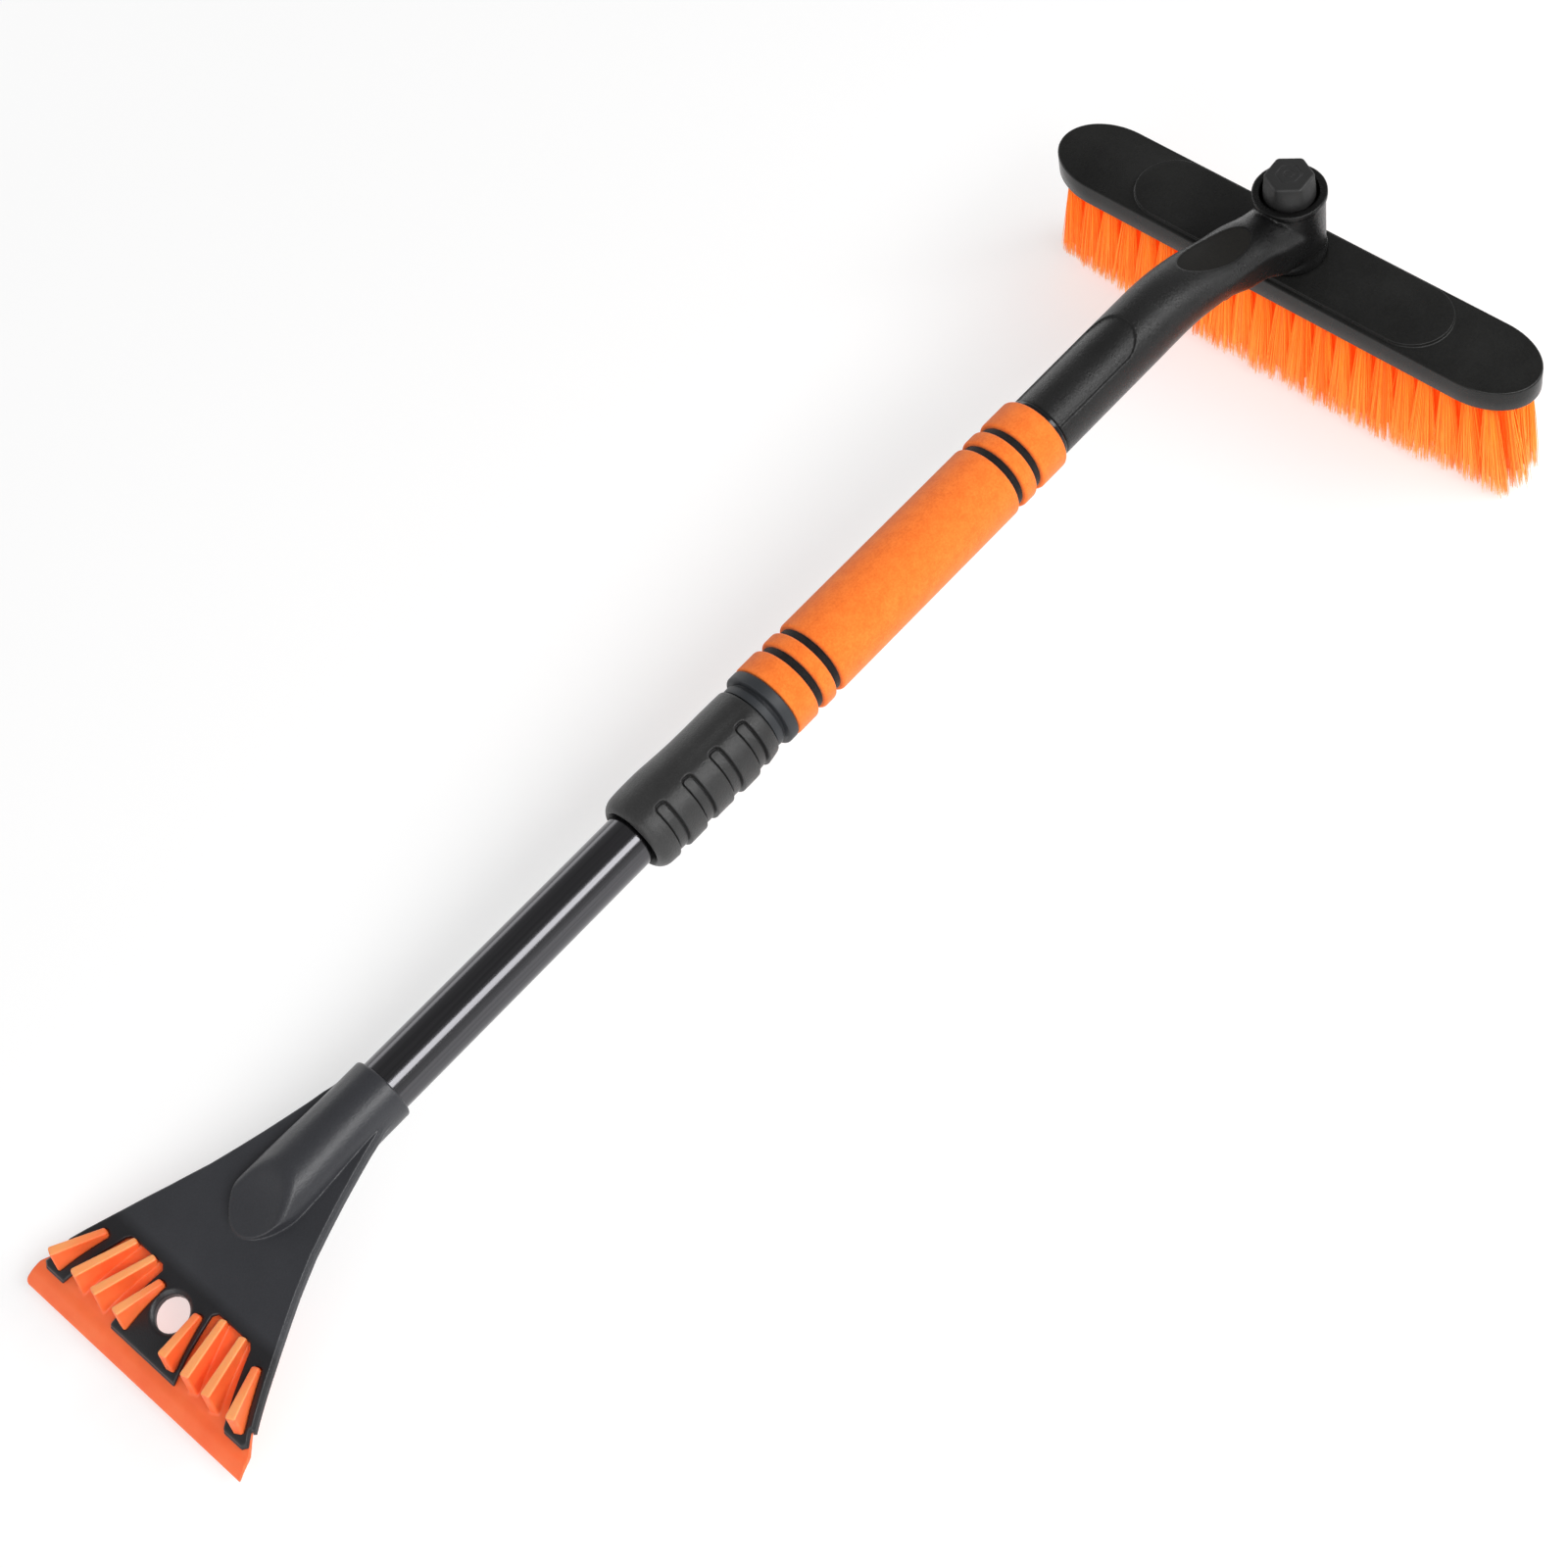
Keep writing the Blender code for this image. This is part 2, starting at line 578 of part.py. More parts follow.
def superellipse(x, half_y, top, bottom, power, count):
    """A rounded cross-section across X."""
    mid, half_z = (top + bottom) / 2, (top - bottom) / 2
    loop = []
    for k in range(count):
        t = 2 * math.pi * k / count
        c, s = math.cos(t), math.sin(t)
        y = half_y * math.copysign(abs(c) ** (2 / power), c)
        z = half_z * math.copysign(abs(s) ** (2 / power), s)
        loop.append((x, y, mid + z))
    return loop


def build_arm(mats):
    count = 28
    bm = bmesh.new()
    loops = []
    for x, top, bottom in ARM_SIDE:
        power = lerp_table(((418.0, 2.0), (485.0, 2.0), (540.0, 2.15), (594.0, 2.3)), x)
        loops.append(superellipse(x, lerp_table(ARM_HALF_WIDTH, x), top, bottom, power, count))
    rings = ring_surface(bm, loops, False)
    bm.faces.new(rings[0])
    bm.faces.new(rings[-1])
    arm = new_object("pivot_arm", bm, mats["satin"], (HUB_X, 0, 0), smooth=True)

    # the ridge reaches up into the arm, so its top edge follows the arm's middle
    outline = list(FINGER_RIDGE)
    outline += [(590.0, -30.0), (560.0, -15.0), (535.0, -6.0), (510.0, 0.0), (487.0, 0.0)]
    ridge = new_object("cutter", side_prism(outline, FINGER_HALF_WIDTH), mats["satin"], (HUB_X, 0, 0))

    hub = lathe_solid(
        "Z",
        [(HUB_BASE_Z, HUB_R + 0.6), (HUB_BASE_Z + 2.6, HUB_R + 0.6), (HUB_BASE_Z + 3.0, HUB_R - 0.3),
         (HUB_TOP_Z - 4.0, HUB_R - 0.4), (HUB_TOP_Z - 3.4, HUB_R), (HUB_TOP_Z - 0.5, HUB_R), (HUB_TOP_Z, HUB_R - 0.5)],
        36, (HUB_X, 0.0))
    combine(arm, [ridge, new_object("cutter", hub, mats["satin"], (HUB_X, 0, 0))], "UNION")
    well = lathe_solid("Z", [(HUB_FLOOR_Z, HUB_WELL_R), (5.0, HUB_WELL_R)], 32, (HUB_X, 0.0))
    eye = lathe_solid("Z", [(-60.0, SPINDLE_R + GAP), (-30.0, SPINDLE_R + GAP)], 24, (HUB_X, 0.0))
    bore = lathe_solid("X", [(410.0, ARM_BORE_R), (ARM_BORE_END, ARM_BORE_R)], 28)
    w = LATCH_HALF_WIDTH + GAP
    window = box((LATCH_X[0] - 0.4, -w, -22.0), (LATCH_X[1] + 0.4, w, -10.0))
    cutters = [new_object("cutter", b, mats["satin"]) for b in (well, eye, bore, window)]
    combine(arm, cutters, "DIFFERENCE")
    return arm


def build_pivot(mats):
    centre = (HUB_X, 0.0)
    origin = (HUB_X, 0, 0)
    washer_top = -41.0
    made = []
    # push button: round skirt below, tapered hexagon above
    bm = bmesh.new()
    count = 24

    def hexagon(z, r):
        """A hexagon with a corner towards the shaft, walked in equal angles."""
        loop = []
        for k in range(count):
            t = 2 * math.pi * k / count
            turn = (t % (math.pi / 3)) - math.pi / 6
            rr = r * math.cos(math.pi / 6) / math.cos(turn)
            loop.append((centre[0] + rr * math.cos(t), centre[1] + rr * math.sin(t), z))
        return loop

    loops = [
        circle("Z", -33.4, 7.0, count, centre), circle("Z", -33.4, BUTTON_SKIRT_R, count, centre),
        circle("Z", -4.4, BUTTON_SKIRT_R, count, centre), hexagon(-2.8, BUTTON_HEX_R),
        hexagon(BUTTON_TOP_Z - 1.4, 12.1), hexagon(BUTTON_TOP_Z, 9.6),
    ]
    rings = ring_surface(bm, loops, False)
    bm.faces.new(rings[0])
    bm.faces.new(rings[-1])
    made.append(new_object("pivot_button", bm, mats["rubber"], origin))

    # toothed ring that locks the head: it hangs under the button
    bm = bmesh.new()
    teeth = 12
    loops = []
    gear_low = washer_top + BUTTON_TRAVEL + 0.4
    for z, outer in ((gear_low, True), (-33.7, True), (-33.7, False), (gear_low, False)):
        loop = []
        for k in range(teeth * 4):
            t = 2 * math.pi * k / (teeth * 4)
            r = (13.4 if k % 4 in (0, 1) else 12.0) if outer else 9.0
            loop.append((centre[0] + r * math.cos(t), centre[1] + r * math.sin(t), z))
        loops.append(loop)
    ring_surface(bm, loops, True)
    made.append(new_object("lock_gear", bm, mats["nylon"], origin))

    washer = [(-42.4, 2.9), (-42.4, 12.6), (washer_top, 12.6), (washer_top, 2.9)]
    made.append(new_object("pivot_washer", lathe_ring("Z", washer, 24, centre), mats["steel"], origin, True))
    screw = [(-58.0, 1.2), (-56.6, 2.2), (-40.7, 2.2), (-40.7, 5.2), (-39.2, 5.2), (-38.2, 4.0)]
    made.append(new_object("pivot_screw", lathe_solid("Z", screw, 16, centre), mats["steel"], origin, True))

    # coil spring between washer and button
    turns, per_turn, sides = 3.0, 12, 5
    coil_r, wire_r = 7.5, 0.55
    z0, z1 = -40.3, -34.1
    bm = bmesh.new()
    loops = []
    steps = int(turns * per_turn)
    for k in range(steps + 1):
        t = 2 * math.pi * k / per_turn
        z = z0 + (z1 - z0) * k / steps
        out = Vector((math.cos(t), math.sin(t), 0))
        c = Vector((centre[0], centre[1], z)) + out * coil_r
        loops.append(
            [c + out * (wire_r * math.cos(2 * math.pi * s / sides)) + Vector((0, 0, wire_r * math.sin(2 * math.pi * s / sides)))
             for s in range(sides)]
        )
    rings = ring_surface(bm, loops, False)
    bm.faces.new(rings[0])
    bm.faces.new(rings[-1])
    made.append(new_object("pivot_spring", bm, mats["steel"], origin, True))
    return made


# ================================================================= brush head
def build_plate(mats):
    origin = (HUB_X, 0, 0)
    bm = bmesh.new()
    top, low = PLATE_TOP_Z, PLATE_TOP_Z - PLATE_THICK
    loops = []
    for z, inset in ((low, 0.6), (low + 0.6, 0.0), (top - 0.8, 0.0), (top, 0.8)):
        points = stadium(PLATE_LENGTH - 2 * inset, PLATE_WIDTH - 2 * inset, PLATE_END - inset, 12, (HUB_X, 0.0))
        loops.append([(x, y, z) for x, y in points])
    inner = stadium(BOSS_LENGTH, BOSS_WIDTH, BOSS_END, 12, (HUB_X, 0.0))
    inset = stadium(BOSS_LENGTH - 1.2, BOSS_WIDTH - 1.2, BOSS_END - 0.6, 12, (HUB_X, 0.0))
    loops.append([(x, y, top) for x, y in inner])
    loops.append([(x, y, BOSS_TOP_Z - 0.6) for x, y in inner])
    loops.append([(x, y, BOSS_TOP_Z) for x, y in inset])
    rings = ring_surface(bm, loops, False)
    bm.faces.new(rings[0])
    bm.faces.new(rings[-1])
    plate = new_object("brush_plate", bm, mats["satin"], origin)
    post = lathe_solid("Z", [(-55.0, SPINDLE_R), (-42.7, SPINDLE_R)], 24, (HUB_X, 0.0))
    combine(plate, [new_object("cutter", post, mats["satin"], origin)], "UNION")
    bore = lathe_solid("Z", [(-59.0, 2.5), (-40.0, 2.5)], 16, (HUB_X, 0.0))
    combine(plate, [new_object("cutter", bore, mats["satin"], origin)], "DIFFERENCE")
    return plate


def bristle_row(name, offset, mat):
    """One row of tufts as a comb: a thin strip with a tapered tooth for each tuft."""
    root_z = PLATE_TOP_Z - PLATE_THICK - GAP
    strip_z = root_z - 1.2
    half_root, half_tip = 3.0, 4.6
    lean = offset * (ROW_FLARE - 1.0)
    ys = []
    first = -TUFT_PITCH * (TUFTS_PER_ROW - 1) / 2
    taper_ends = 4.0 if abs(offset) > 9 else 0.0
    for k in range(TUFTS_PER_ROW):
        y = (first + TUFT_PITCH * k) * (1.0 - taper_ends / 130.0)
        fan = 1.0 + 4.0 / 130.0
        ys.append((y - 3.6, y + 3.6, y * fan - 5.2, y * fan + 5.2))
    bm = bmesh.new()

    def face_pair(y, z, share):
        narrow = 1.0 + (lerp_table(TIP_NARROWING, abs(y)) - 1.0) * share
        x = HUB_X + (offset + lean * share) * narrow
        half = (half_root + (half_tip - half_root) * share) * narrow
        return [bm.verts.new((x - half, y, z)), bm.verts.new((x + half, y, z))]

    top = []
    mid = []
    tips = []
    for y0, y1, t0, t1 in ys:
        top += [face_pair(y0, root_z, 0.0), face_pair(y1, root_z, 0.0)]
        mid += [face_pair(y0, strip_z, 0.02), face_pair(y1, strip_z, 0.02)]
        tips.append([face_pair(t0, BRISTLE_TIP_Z, 1.0), face_pair(t1, BRISTLE_TIP_Z, 1.0)])

    def quad(a, b, c, d):
        bm.faces.new((a, b, c, d))

    count = len(top)
    for k in range(count - 1):
        for side in (0, 1):
            quad(top[k][side], top[k + 1][side], mid[k + 1][side], mid[k][side])
        quad(top[k][0], top[k + 1][0], top[k + 1][1], top[k][1])
        if k % 2:
            quad(mid[k][0], mid[k + 1][0], mid[k + 1][1], mid[k][1])
    for k in (0, count - 1):
        quad(top[k][0], top[k][1], mid[k][1], mid[k][0])
    for n, (t0, t1) in enumerate(tips):
        a, b = mid[2 * n], mid[2 * n + 1]
        for side in (0, 1):
            quad(a[side], b[side], t1[side], t0[side])
        quad(a[0], a[1], t0[1], t0[0])
        quad(b[0], b[1], t1[1], t1[0])
        quad(t0[0], t0[1], t1[1], t1[0])
    return new_object(name, bm, mat, (HUB_X, 0, 0))


def build_brush(mats):
    made = [build_plate(mats)]
    for n, offset in enumerate(BRISTLE_ROWS, 1):
        made.append(bristle_row(f"bristle_row_{n}", offset, mats["bristle"]))
    return made


# ================================================================= rest pose
def rest_on_floor(objects):
    """Tip the tool about Y until blade and bristles touch one floor; centre it over the origin."""
    def points(names):
        return [ob.location + v.co for ob in objects if ob.name.startswith(names) for v in ob.data.vertices]

    blade = points("scraper_blade")
    bristles = points("bristle_row")
    tip = 0.0
    for _ in range(30):
        turn = Matrix.Rotation(tip, 3, "Y")
        a = min(blade, key=lambda p: (turn @ p).z)
        b = min(bristles, key=lambda p: (turn @ p).z)
        tip = math.atan2(b.z - a.z, b.x - a.x)
    turn = Matrix.Rotation(tip, 4, "Y")
    placed = [turn @ p for p in points("")]
    lo = [min(p[i] for p in placed) for i in range(3)]
    hi = [max(p[i] for p in placed) for i in range(3)]
    shift = Vector((-(lo[0] + hi[0]) / 2, -(lo[1] + hi[1]) / 2, -lo[2]))
    root = bpy.data.objects.new("tool", None)
    bpy.context.collection.objects.link(root)
    root.matrix_world = Matrix.Translation(shift) @ turn
    for ob in objects:
        ob.parent = root
    bpy.context.view_layer.update()
    return root


def main():
    clear_scene()
    mats = {
        "body": material("scraper_plastic", (0.045, 0.046, 0.050), 0.55),
        "blade": material("blade_plastic", (0.95, 0.17, 0.04), 0.42),
        "tube": material("tube_anodised", (0.010, 0.010, 0.011), 0.22, 0.6),
        "nylon": material("nylon_white", (0.62, 0.61, 0.58), 0.5),
        "grip": material("grip_rubber", (0.030, 0.030, 0.031), 0.62),
        "foam": material("foam_orange", (0.96, 0.25, 0.03), 0.85),
        "foam_black": material("foam_black", (0.010, 0.010, 0.010), 0.85),
        "gloss": material("coupling_plastic", (0.012, 0.012, 0.013), 0.28),
        "satin": material("arm_plastic", (0.012, 0.012, 0.012), 0.38),
        "rubber": material("button_plastic", (0.028, 0.028, 0.028), 0.5),
        "steel": material("spring_steel", (0.55, 0.55, 0.56), 0.3, 1.0),
        "bristle": material("bristle_orange", (0.98, 0.24, 0.03), 0.5),
    }
    objects = build_scraper(mats)
    objects += build_shaft(mats)
    objects += build_foam(mats)
    objects += build_coupling(mats)
    objects.append(build_arm(mats))
    objects += build_pivot(mats)
    objects += build_brush(mats)
    rest_on_floor(objects)


main()
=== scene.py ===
"""Looks of the snow brush with ice scraper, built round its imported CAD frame.

Shapes are made in the tool frame, in millimetres: +X along the shaft from scraper to brush, +Z along
the head's pivot axis, +Y across. TOOL carries that frame into the model's frame.
"""

import json
import math

import bmesh
import bpy
import numpy as np
from mathutils import Matrix, Vector


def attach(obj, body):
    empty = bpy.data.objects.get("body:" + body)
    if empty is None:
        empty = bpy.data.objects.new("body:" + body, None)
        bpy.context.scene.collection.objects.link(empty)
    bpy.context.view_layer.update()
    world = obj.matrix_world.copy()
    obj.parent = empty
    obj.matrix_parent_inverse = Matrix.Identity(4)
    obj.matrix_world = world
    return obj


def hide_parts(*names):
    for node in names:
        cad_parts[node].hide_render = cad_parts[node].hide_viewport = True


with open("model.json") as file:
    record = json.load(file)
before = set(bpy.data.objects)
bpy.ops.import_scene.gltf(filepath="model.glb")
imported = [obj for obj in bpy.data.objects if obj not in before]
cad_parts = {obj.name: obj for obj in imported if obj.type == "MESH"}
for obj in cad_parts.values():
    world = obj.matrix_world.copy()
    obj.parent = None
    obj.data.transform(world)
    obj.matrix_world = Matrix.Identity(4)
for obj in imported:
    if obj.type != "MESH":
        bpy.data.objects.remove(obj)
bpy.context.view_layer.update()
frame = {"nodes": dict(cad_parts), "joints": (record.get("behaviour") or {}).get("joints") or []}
MM = 0.001
JOINTS = {j["name"]: j for j in frame["joints"]}

# ---------------------------------------------------------------- driving sizes, tool frame, mm
PIVOT = (601.5, 0.0, -51.0)  # the head pivot's point

TUBE_R = 12.5
OUTER_TUBE_R = 14.0
# (piece, CAD node, body, outside radius, wall, ends in x)
TUBES = (
    ("shaft_tube", "inner_tube", "inner_shaft", TUBE_R, 1.3, (-45.0, 204.0)),
    ("handle_tube", "outer_tube", "handle", OUTER_TUBE_R, 1.1, (177.0, 412.0)),
)
HANDLE_BORE_R = OUTER_TUBE_R + 0.3  # bore of the pieces that sit on the outer tube

SOCKET_R = 14.9
SOCKET_FLOOR_X = -46.0
NOSE_CENTRE_X = -57.0
NOSE_HALF = (26.0, 16.2)
# the fan: its top's height and its half width are tables over x
FAN_THICK = 5.0
FAN_STEP_X = -107.5
LOBE_THICK = 2.2
LIP_DEPTH = 1.1
LIP_INSET = 1.1
HOLE = (-121.8, 0.0)  # hang hole: centre, radius, and radius of its chamfered rim
HOLE_R = 7.75
HOLE_RIM_R = 9.3
BLADE_THICK = (2.3, 1.3)  # at the seat, and how much of it is gone at the edge
BLADE_PLAY = 0.3
RIB_PLAY = 0.5
BLADE_TIP_X = -150.5
BLADE_HALF = 66.6
FAN_TOP = (
    (0.0, 5.0), (-39.0, 3.2), (-60.0, 2.0), (-82.0, 0.5), (-96.0, -1.2), (-106.0, -2.8),
    (-114.0, -4.1), (-122.0, -5.6), (-130.0, -7.8), (-136.0, -10.2), (-142.0, -13.3),
    (-146.0, -16.2), (-150.5, -19.8), (-156.0, -24.6),
)
FAN_HALF = (
    (-9.0, 14.6), (-13.6, 15.4), (-18.0, 16.8), (-25.0, 18.4), (-34.0, 20.9), (-45.0, 24.1),
    (-56.0, 27.6), (-69.0, 32.0), (-85.0, 38.8), (-105.0, 48.2), (-119.6, 55.2), (-133.6, 62.0),
)
# ribs on one side: (y at the top end, x there, y at the lower end)
RIBS = ((11.2, -115.6, 14.7), (21.4, -110.4, 28.4), (33.0, -110.4, 41.0), (46.3, -115.6, 56.0))
RIB_IN_SLOT = (0, 3)
RIB_WIDTH = (3.2, 4.3)
RIB_TOP_Z = (-2.2, 1.4)
RIB_LOW_X = -137.2

COLLAR_X = (147.6, 221.9)
COLLAR_R = 18.6  # mean outside radius
COLLAR_BORE_R = 15.8
COLLAR_LIP_R = 12.95
COLLAR_LIP_END = 151.6
COLLAR_SLOTS = (161.5, 178.0, 194.8, 211.3)
SLOT_HALF = 3.4
SLOT_CORNER = 2.5
SLOT_DEPTH = 2.5
SLOT_END_ANGLE = 68.0  # the slots' rounded ends, away from -Y
FERRULE_X = (180.0, 222.3, 228.2, 233.4)

FOAM_R = 19.1
GROOVE_R = 17.1
# (CAD node, ends in x, whether it lies in a groove)
FOAM = (
    ("foam_end_ring_lower", 233.7, 246.8, False),
    ("foam_groove_ring_1", 246.8, 250.9, True),
    ("foam_band_lower", 250.9, 258.5, False),
    ("foam_groove_ring_2", 258.5, 262.5, True),
    ("foam_sleeve", 262.5, 381.5, False),
    ("foam_groove_ring_3", 381.5, 385.6, True),
    ("foam_band_upper", 385.6, 393.8, False),
    ("foam_groove_ring_4", 393.8, 397.9, True),
    ("foam_end_ring_upper", 397.9, 414.7, False),
)

INSERT_R = 12.9
INSERT_BORE_R = 10.9
LATCH_X = 461.0  # the middle of the latch button
LATCH_HALF = 3.6

ARM_END_X = 418.0
ARM_R = 16.4
ARM_BORE_R = 13.25
ARM_BORE_END = 480.0
PANEL_END_X = 480.0
PANEL_HALF_ARC = 14.9
PAD_CENTRE_X = 545.0
PAD_HALF = (24.0, 10.0)
ARM_PAINTED_SHADE_X = (530.0, 568.0)  # painted shade: the arm's black is made darker towards the hub
HUB_R = 17.9
HUB_TOP_Z = -8.0
HUB_BASE_Z = -48.6
WELL_R = 14.1
# side profile of the arm: (x, top z, bottom z)
ARM_SIDE = (
    (410.0, 16.4, -16.4), (487.0, 16.5, -16.3), (498.0, 16.2, -15.9), (506.6, 15.3, -15.6),
    (512.0, 14.3, -15.6), (524.5, 10.9, -16.6), (536.4, 6.4, -18.4), (544.0, 3.2, -21.6),
    (551.0, 0.6, -25.4), (558.0, -1.6, -27.8), (565.0, -3.6, -30.4), (571.0, -5.6, -34.6),
    (576.0, -7.6, -39.0), (585.0, -10.4, -43.6), (594.0, -12.4, -45.5), (602.0, -13.5, -46.0),
)
# lower edge of the finger ridge
FINGER_RIDGE = (
    (482.0, -14.0), (487.0, -15.4), (493.0, -17.5), (498.0, -16.2), (502.0, -15.8), (507.0, -16.6),
    (512.0, -20.0), (517.8, -21.9), (521.5, -20.4), (524.5, -18.4), (531.7, -17.6), (537.0, -20.2),
    (541.1, -24.8), (544.6, -31.0), (549.2, -33.6), (552.6, -32.4), (555.1, -31.0), (560.4, -30.6),
    (564.9, -33.8), (568.4, -38.6), (571.8, -43.6), (575.0, -42.4), (585.0, -45.0), (595.0, -45.4),
)

BUTTON_TOP_Z = 3.0
BUTTON_FLAT = 10.6  # half the distance across the hexagon's flats
BUTTON_SKIRT_R = 12.5

PLATE_HALF = (21.6, 141.0)
PLATE_END = 31.0  # how far each rounded end reaches along Y
PLATE_Z = (-64.0, -51.0)
BOSS_HALF = (19.3, 91.0)
BOSS_END = 20.5
BOSS_TOP_Z = -49.0
BRISTLE_TIP_Z = -121.0
TIP_SLOPE = 0.016  # the tips are worn a little shorter towards +Y
BRISTLE_ROWS = (-13.5, -4.5, 4.5, 13.5)
TUFTS_PER_ROW = 22
TUFT_PITCH = 12.3
ROW_FLARE = 1.4
TIP_NARROWING = ((0.0, 1.0), (50.0, 0.97), (95.0, 0.88), (118.0, 0.76), (132.0, 0.62))
STRANDS_PER_TUFT = (260, 150)  # outer rows, inner rows


# ================================================================= frames and fields
def tool_matrix():
    """The tool frame in the model's frame, from the two joint axes and the pivot's point."""
    shaft = Vector(JOINTS["telescope"]["axis"]).normalized()
    pivot = Vector(JOINTS["head_pivot"]["axis"]).normalized()
    turn = Matrix((shaft, pivot.cross(shaft), pivot)).transposed()
    place = Vector(JOINTS["head_pivot"]["pos_m"]) - turn @ (Vector(PIVOT) * MM)
    return Matrix.Translation(place) @ turn.to_4x4()


TOOL = tool_matrix()


def smooth_min(a, b, k):
    """The smaller of two distances, with a blend about k wide where they meet."""
    h = np.maximum(k - np.abs(a - b), 0.0) / k
    return np.minimum(a, b) - h * h * k / 4


def smooth_max(a, b, k):
    return -smooth_min(-a, -b, k)


def curve(table):
    """A smooth function through the points of a table, as a Catmull-Rom curve."""
    rows = sorted(table)
    xs = np.array([r[0] for r in rows])
    ys = np.array([r[1] for r in rows])
    slopes = np.gradient(ys, xs)
    fine = np.linspace(xs[0], xs[-1], 1200)
    k = np.clip(np.searchsorted(xs, fine) - 1, 0, len(xs) - 2)
    width = xs[k + 1] - xs[k]
    t = (fine - xs[k]) / width
    values = (
        (2 * t**3 - 3 * t**2 + 1) * ys[k] + (t**3 - 2 * t**2 + t) * width * slopes[k]
        + (3 * t**2 - 2 * t**3) * ys[k + 1] + (t**3 - t**2) * width * slopes[k + 1]
    )
    return lambda x: np.interp(x, fine, values)


def ramp(x, start, end):
    """0 before start, 1 after end, smooth between."""
    t = np.clip((x - start) / (end - start), 0.0, 1.0)
    return t * t * (3 - 2 * t)


def polygon_distance(points, x, y):
    """Signed distance to a closed outline, negative inside."""
    best = 1e9
    inside = False
    for (x0, y0), (x1, y1) in zip(points, points[1:] + points[:1]):
        ex, ey = x1 - x0, y1 - y0
        t = np.clip(((x - x0) * ex + (y - y0) * ey) / (ex * ex + ey * ey), 0.0, 1.0)
        best = np.minimum(best, (x - x0 - ex * t) ** 2 + (y - y0 - ey * t) ** 2)
        crosses = (y0 > y) != (y1 > y)
        if ey != 0.0:
            inside = inside ^ (crosses & (x < x0 + ex * (y - y0) / ey))
    return np.where(inside, -1.0, 1.0) * np.sqrt(best)


def round_corners(points, radius, steps=6):
    """The outline with each corner cut by an arc. radius is one number, or one for each corner."""
    radii = radius if isinstance(radius, (list, tuple)) else [radius] * len(points)
    out = []
    for k, (point, r) in enumerate(zip(points, radii)):
        p = Vector(point)
        a = Vector(points[k - 1]) - p
        b = Vector(points[(k + 1) % len(points)]) - p
        half = a.angle(b) / 2
        if r <= 0 or half > math.radians(87):
            out.append(tuple(p))
            continue
        reach = min(r / math.tan(half), a.length * 0.49, b.length * 0.49)
        r = reach * math.tan(half)
        a, b = a.normalized(), b.normalized()
        centre = p + (a + b).normalized() * (r / math.sin(half))
        start, end = p + a * reach - centre, p + b * reach - centre
        sweep = start.angle_signed(end)
        for n in range(steps + 1):
            turn = Matrix.Rotation(-sweep * n / steps, 2)
            out.append(tuple(centre + turn @ start))
    return out


# ================================================================= meshes
def linked(name, data):
    """A new object of the scene for a mesh, a light or a camera."""
    ob = bpy.data.objects.new(name, data)
    bpy.context.scene.collection.objects.link(ob)
    return ob


def mesh_object(name, points, faces, matrix=TOOL, scale=MM):
    """An object from arrays of points and of equal-sized faces, given in the tool frame."""
    points = np.asarray(points, dtype=np.float64) * scale
    faces = np.asarray(faces, dtype=np.int32)
    mesh = bpy.data.meshes.new(name)
    mesh.vertices.add(len(points))
    mesh.vertices.foreach_set("co", points.ravel())
    corners = faces.shape[1]
    mesh.loops.add(faces.size)
    mesh.loops.foreach_set("vertex_index", faces.ravel())
    mesh.polygons.add(len(faces))
    mesh.polygons.foreach_set("loop_start", np.arange(len(faces), dtype=np.int32) * corners)
    mesh.polygons.foreach_set("loop_total", np.full(len(faces), corners, dtype=np.int32))
    mesh.update(calc_edges=True)
    mesh.transform(matrix)
    mesh.shade_smooth()
    return linked(name, mesh)


CELL_CORNERS = [(i, j, k) for i in (0, 1) for j in (0, 1) for k in (0, 1)]
CELL_EDGES = [
    (a, b) for a in range(8) for b in range(a + 1, 8)
    if sum(abs(p - q) for p, q in zip(CELL_CORNERS[a], CELL_CORNERS[b])) == 1
]


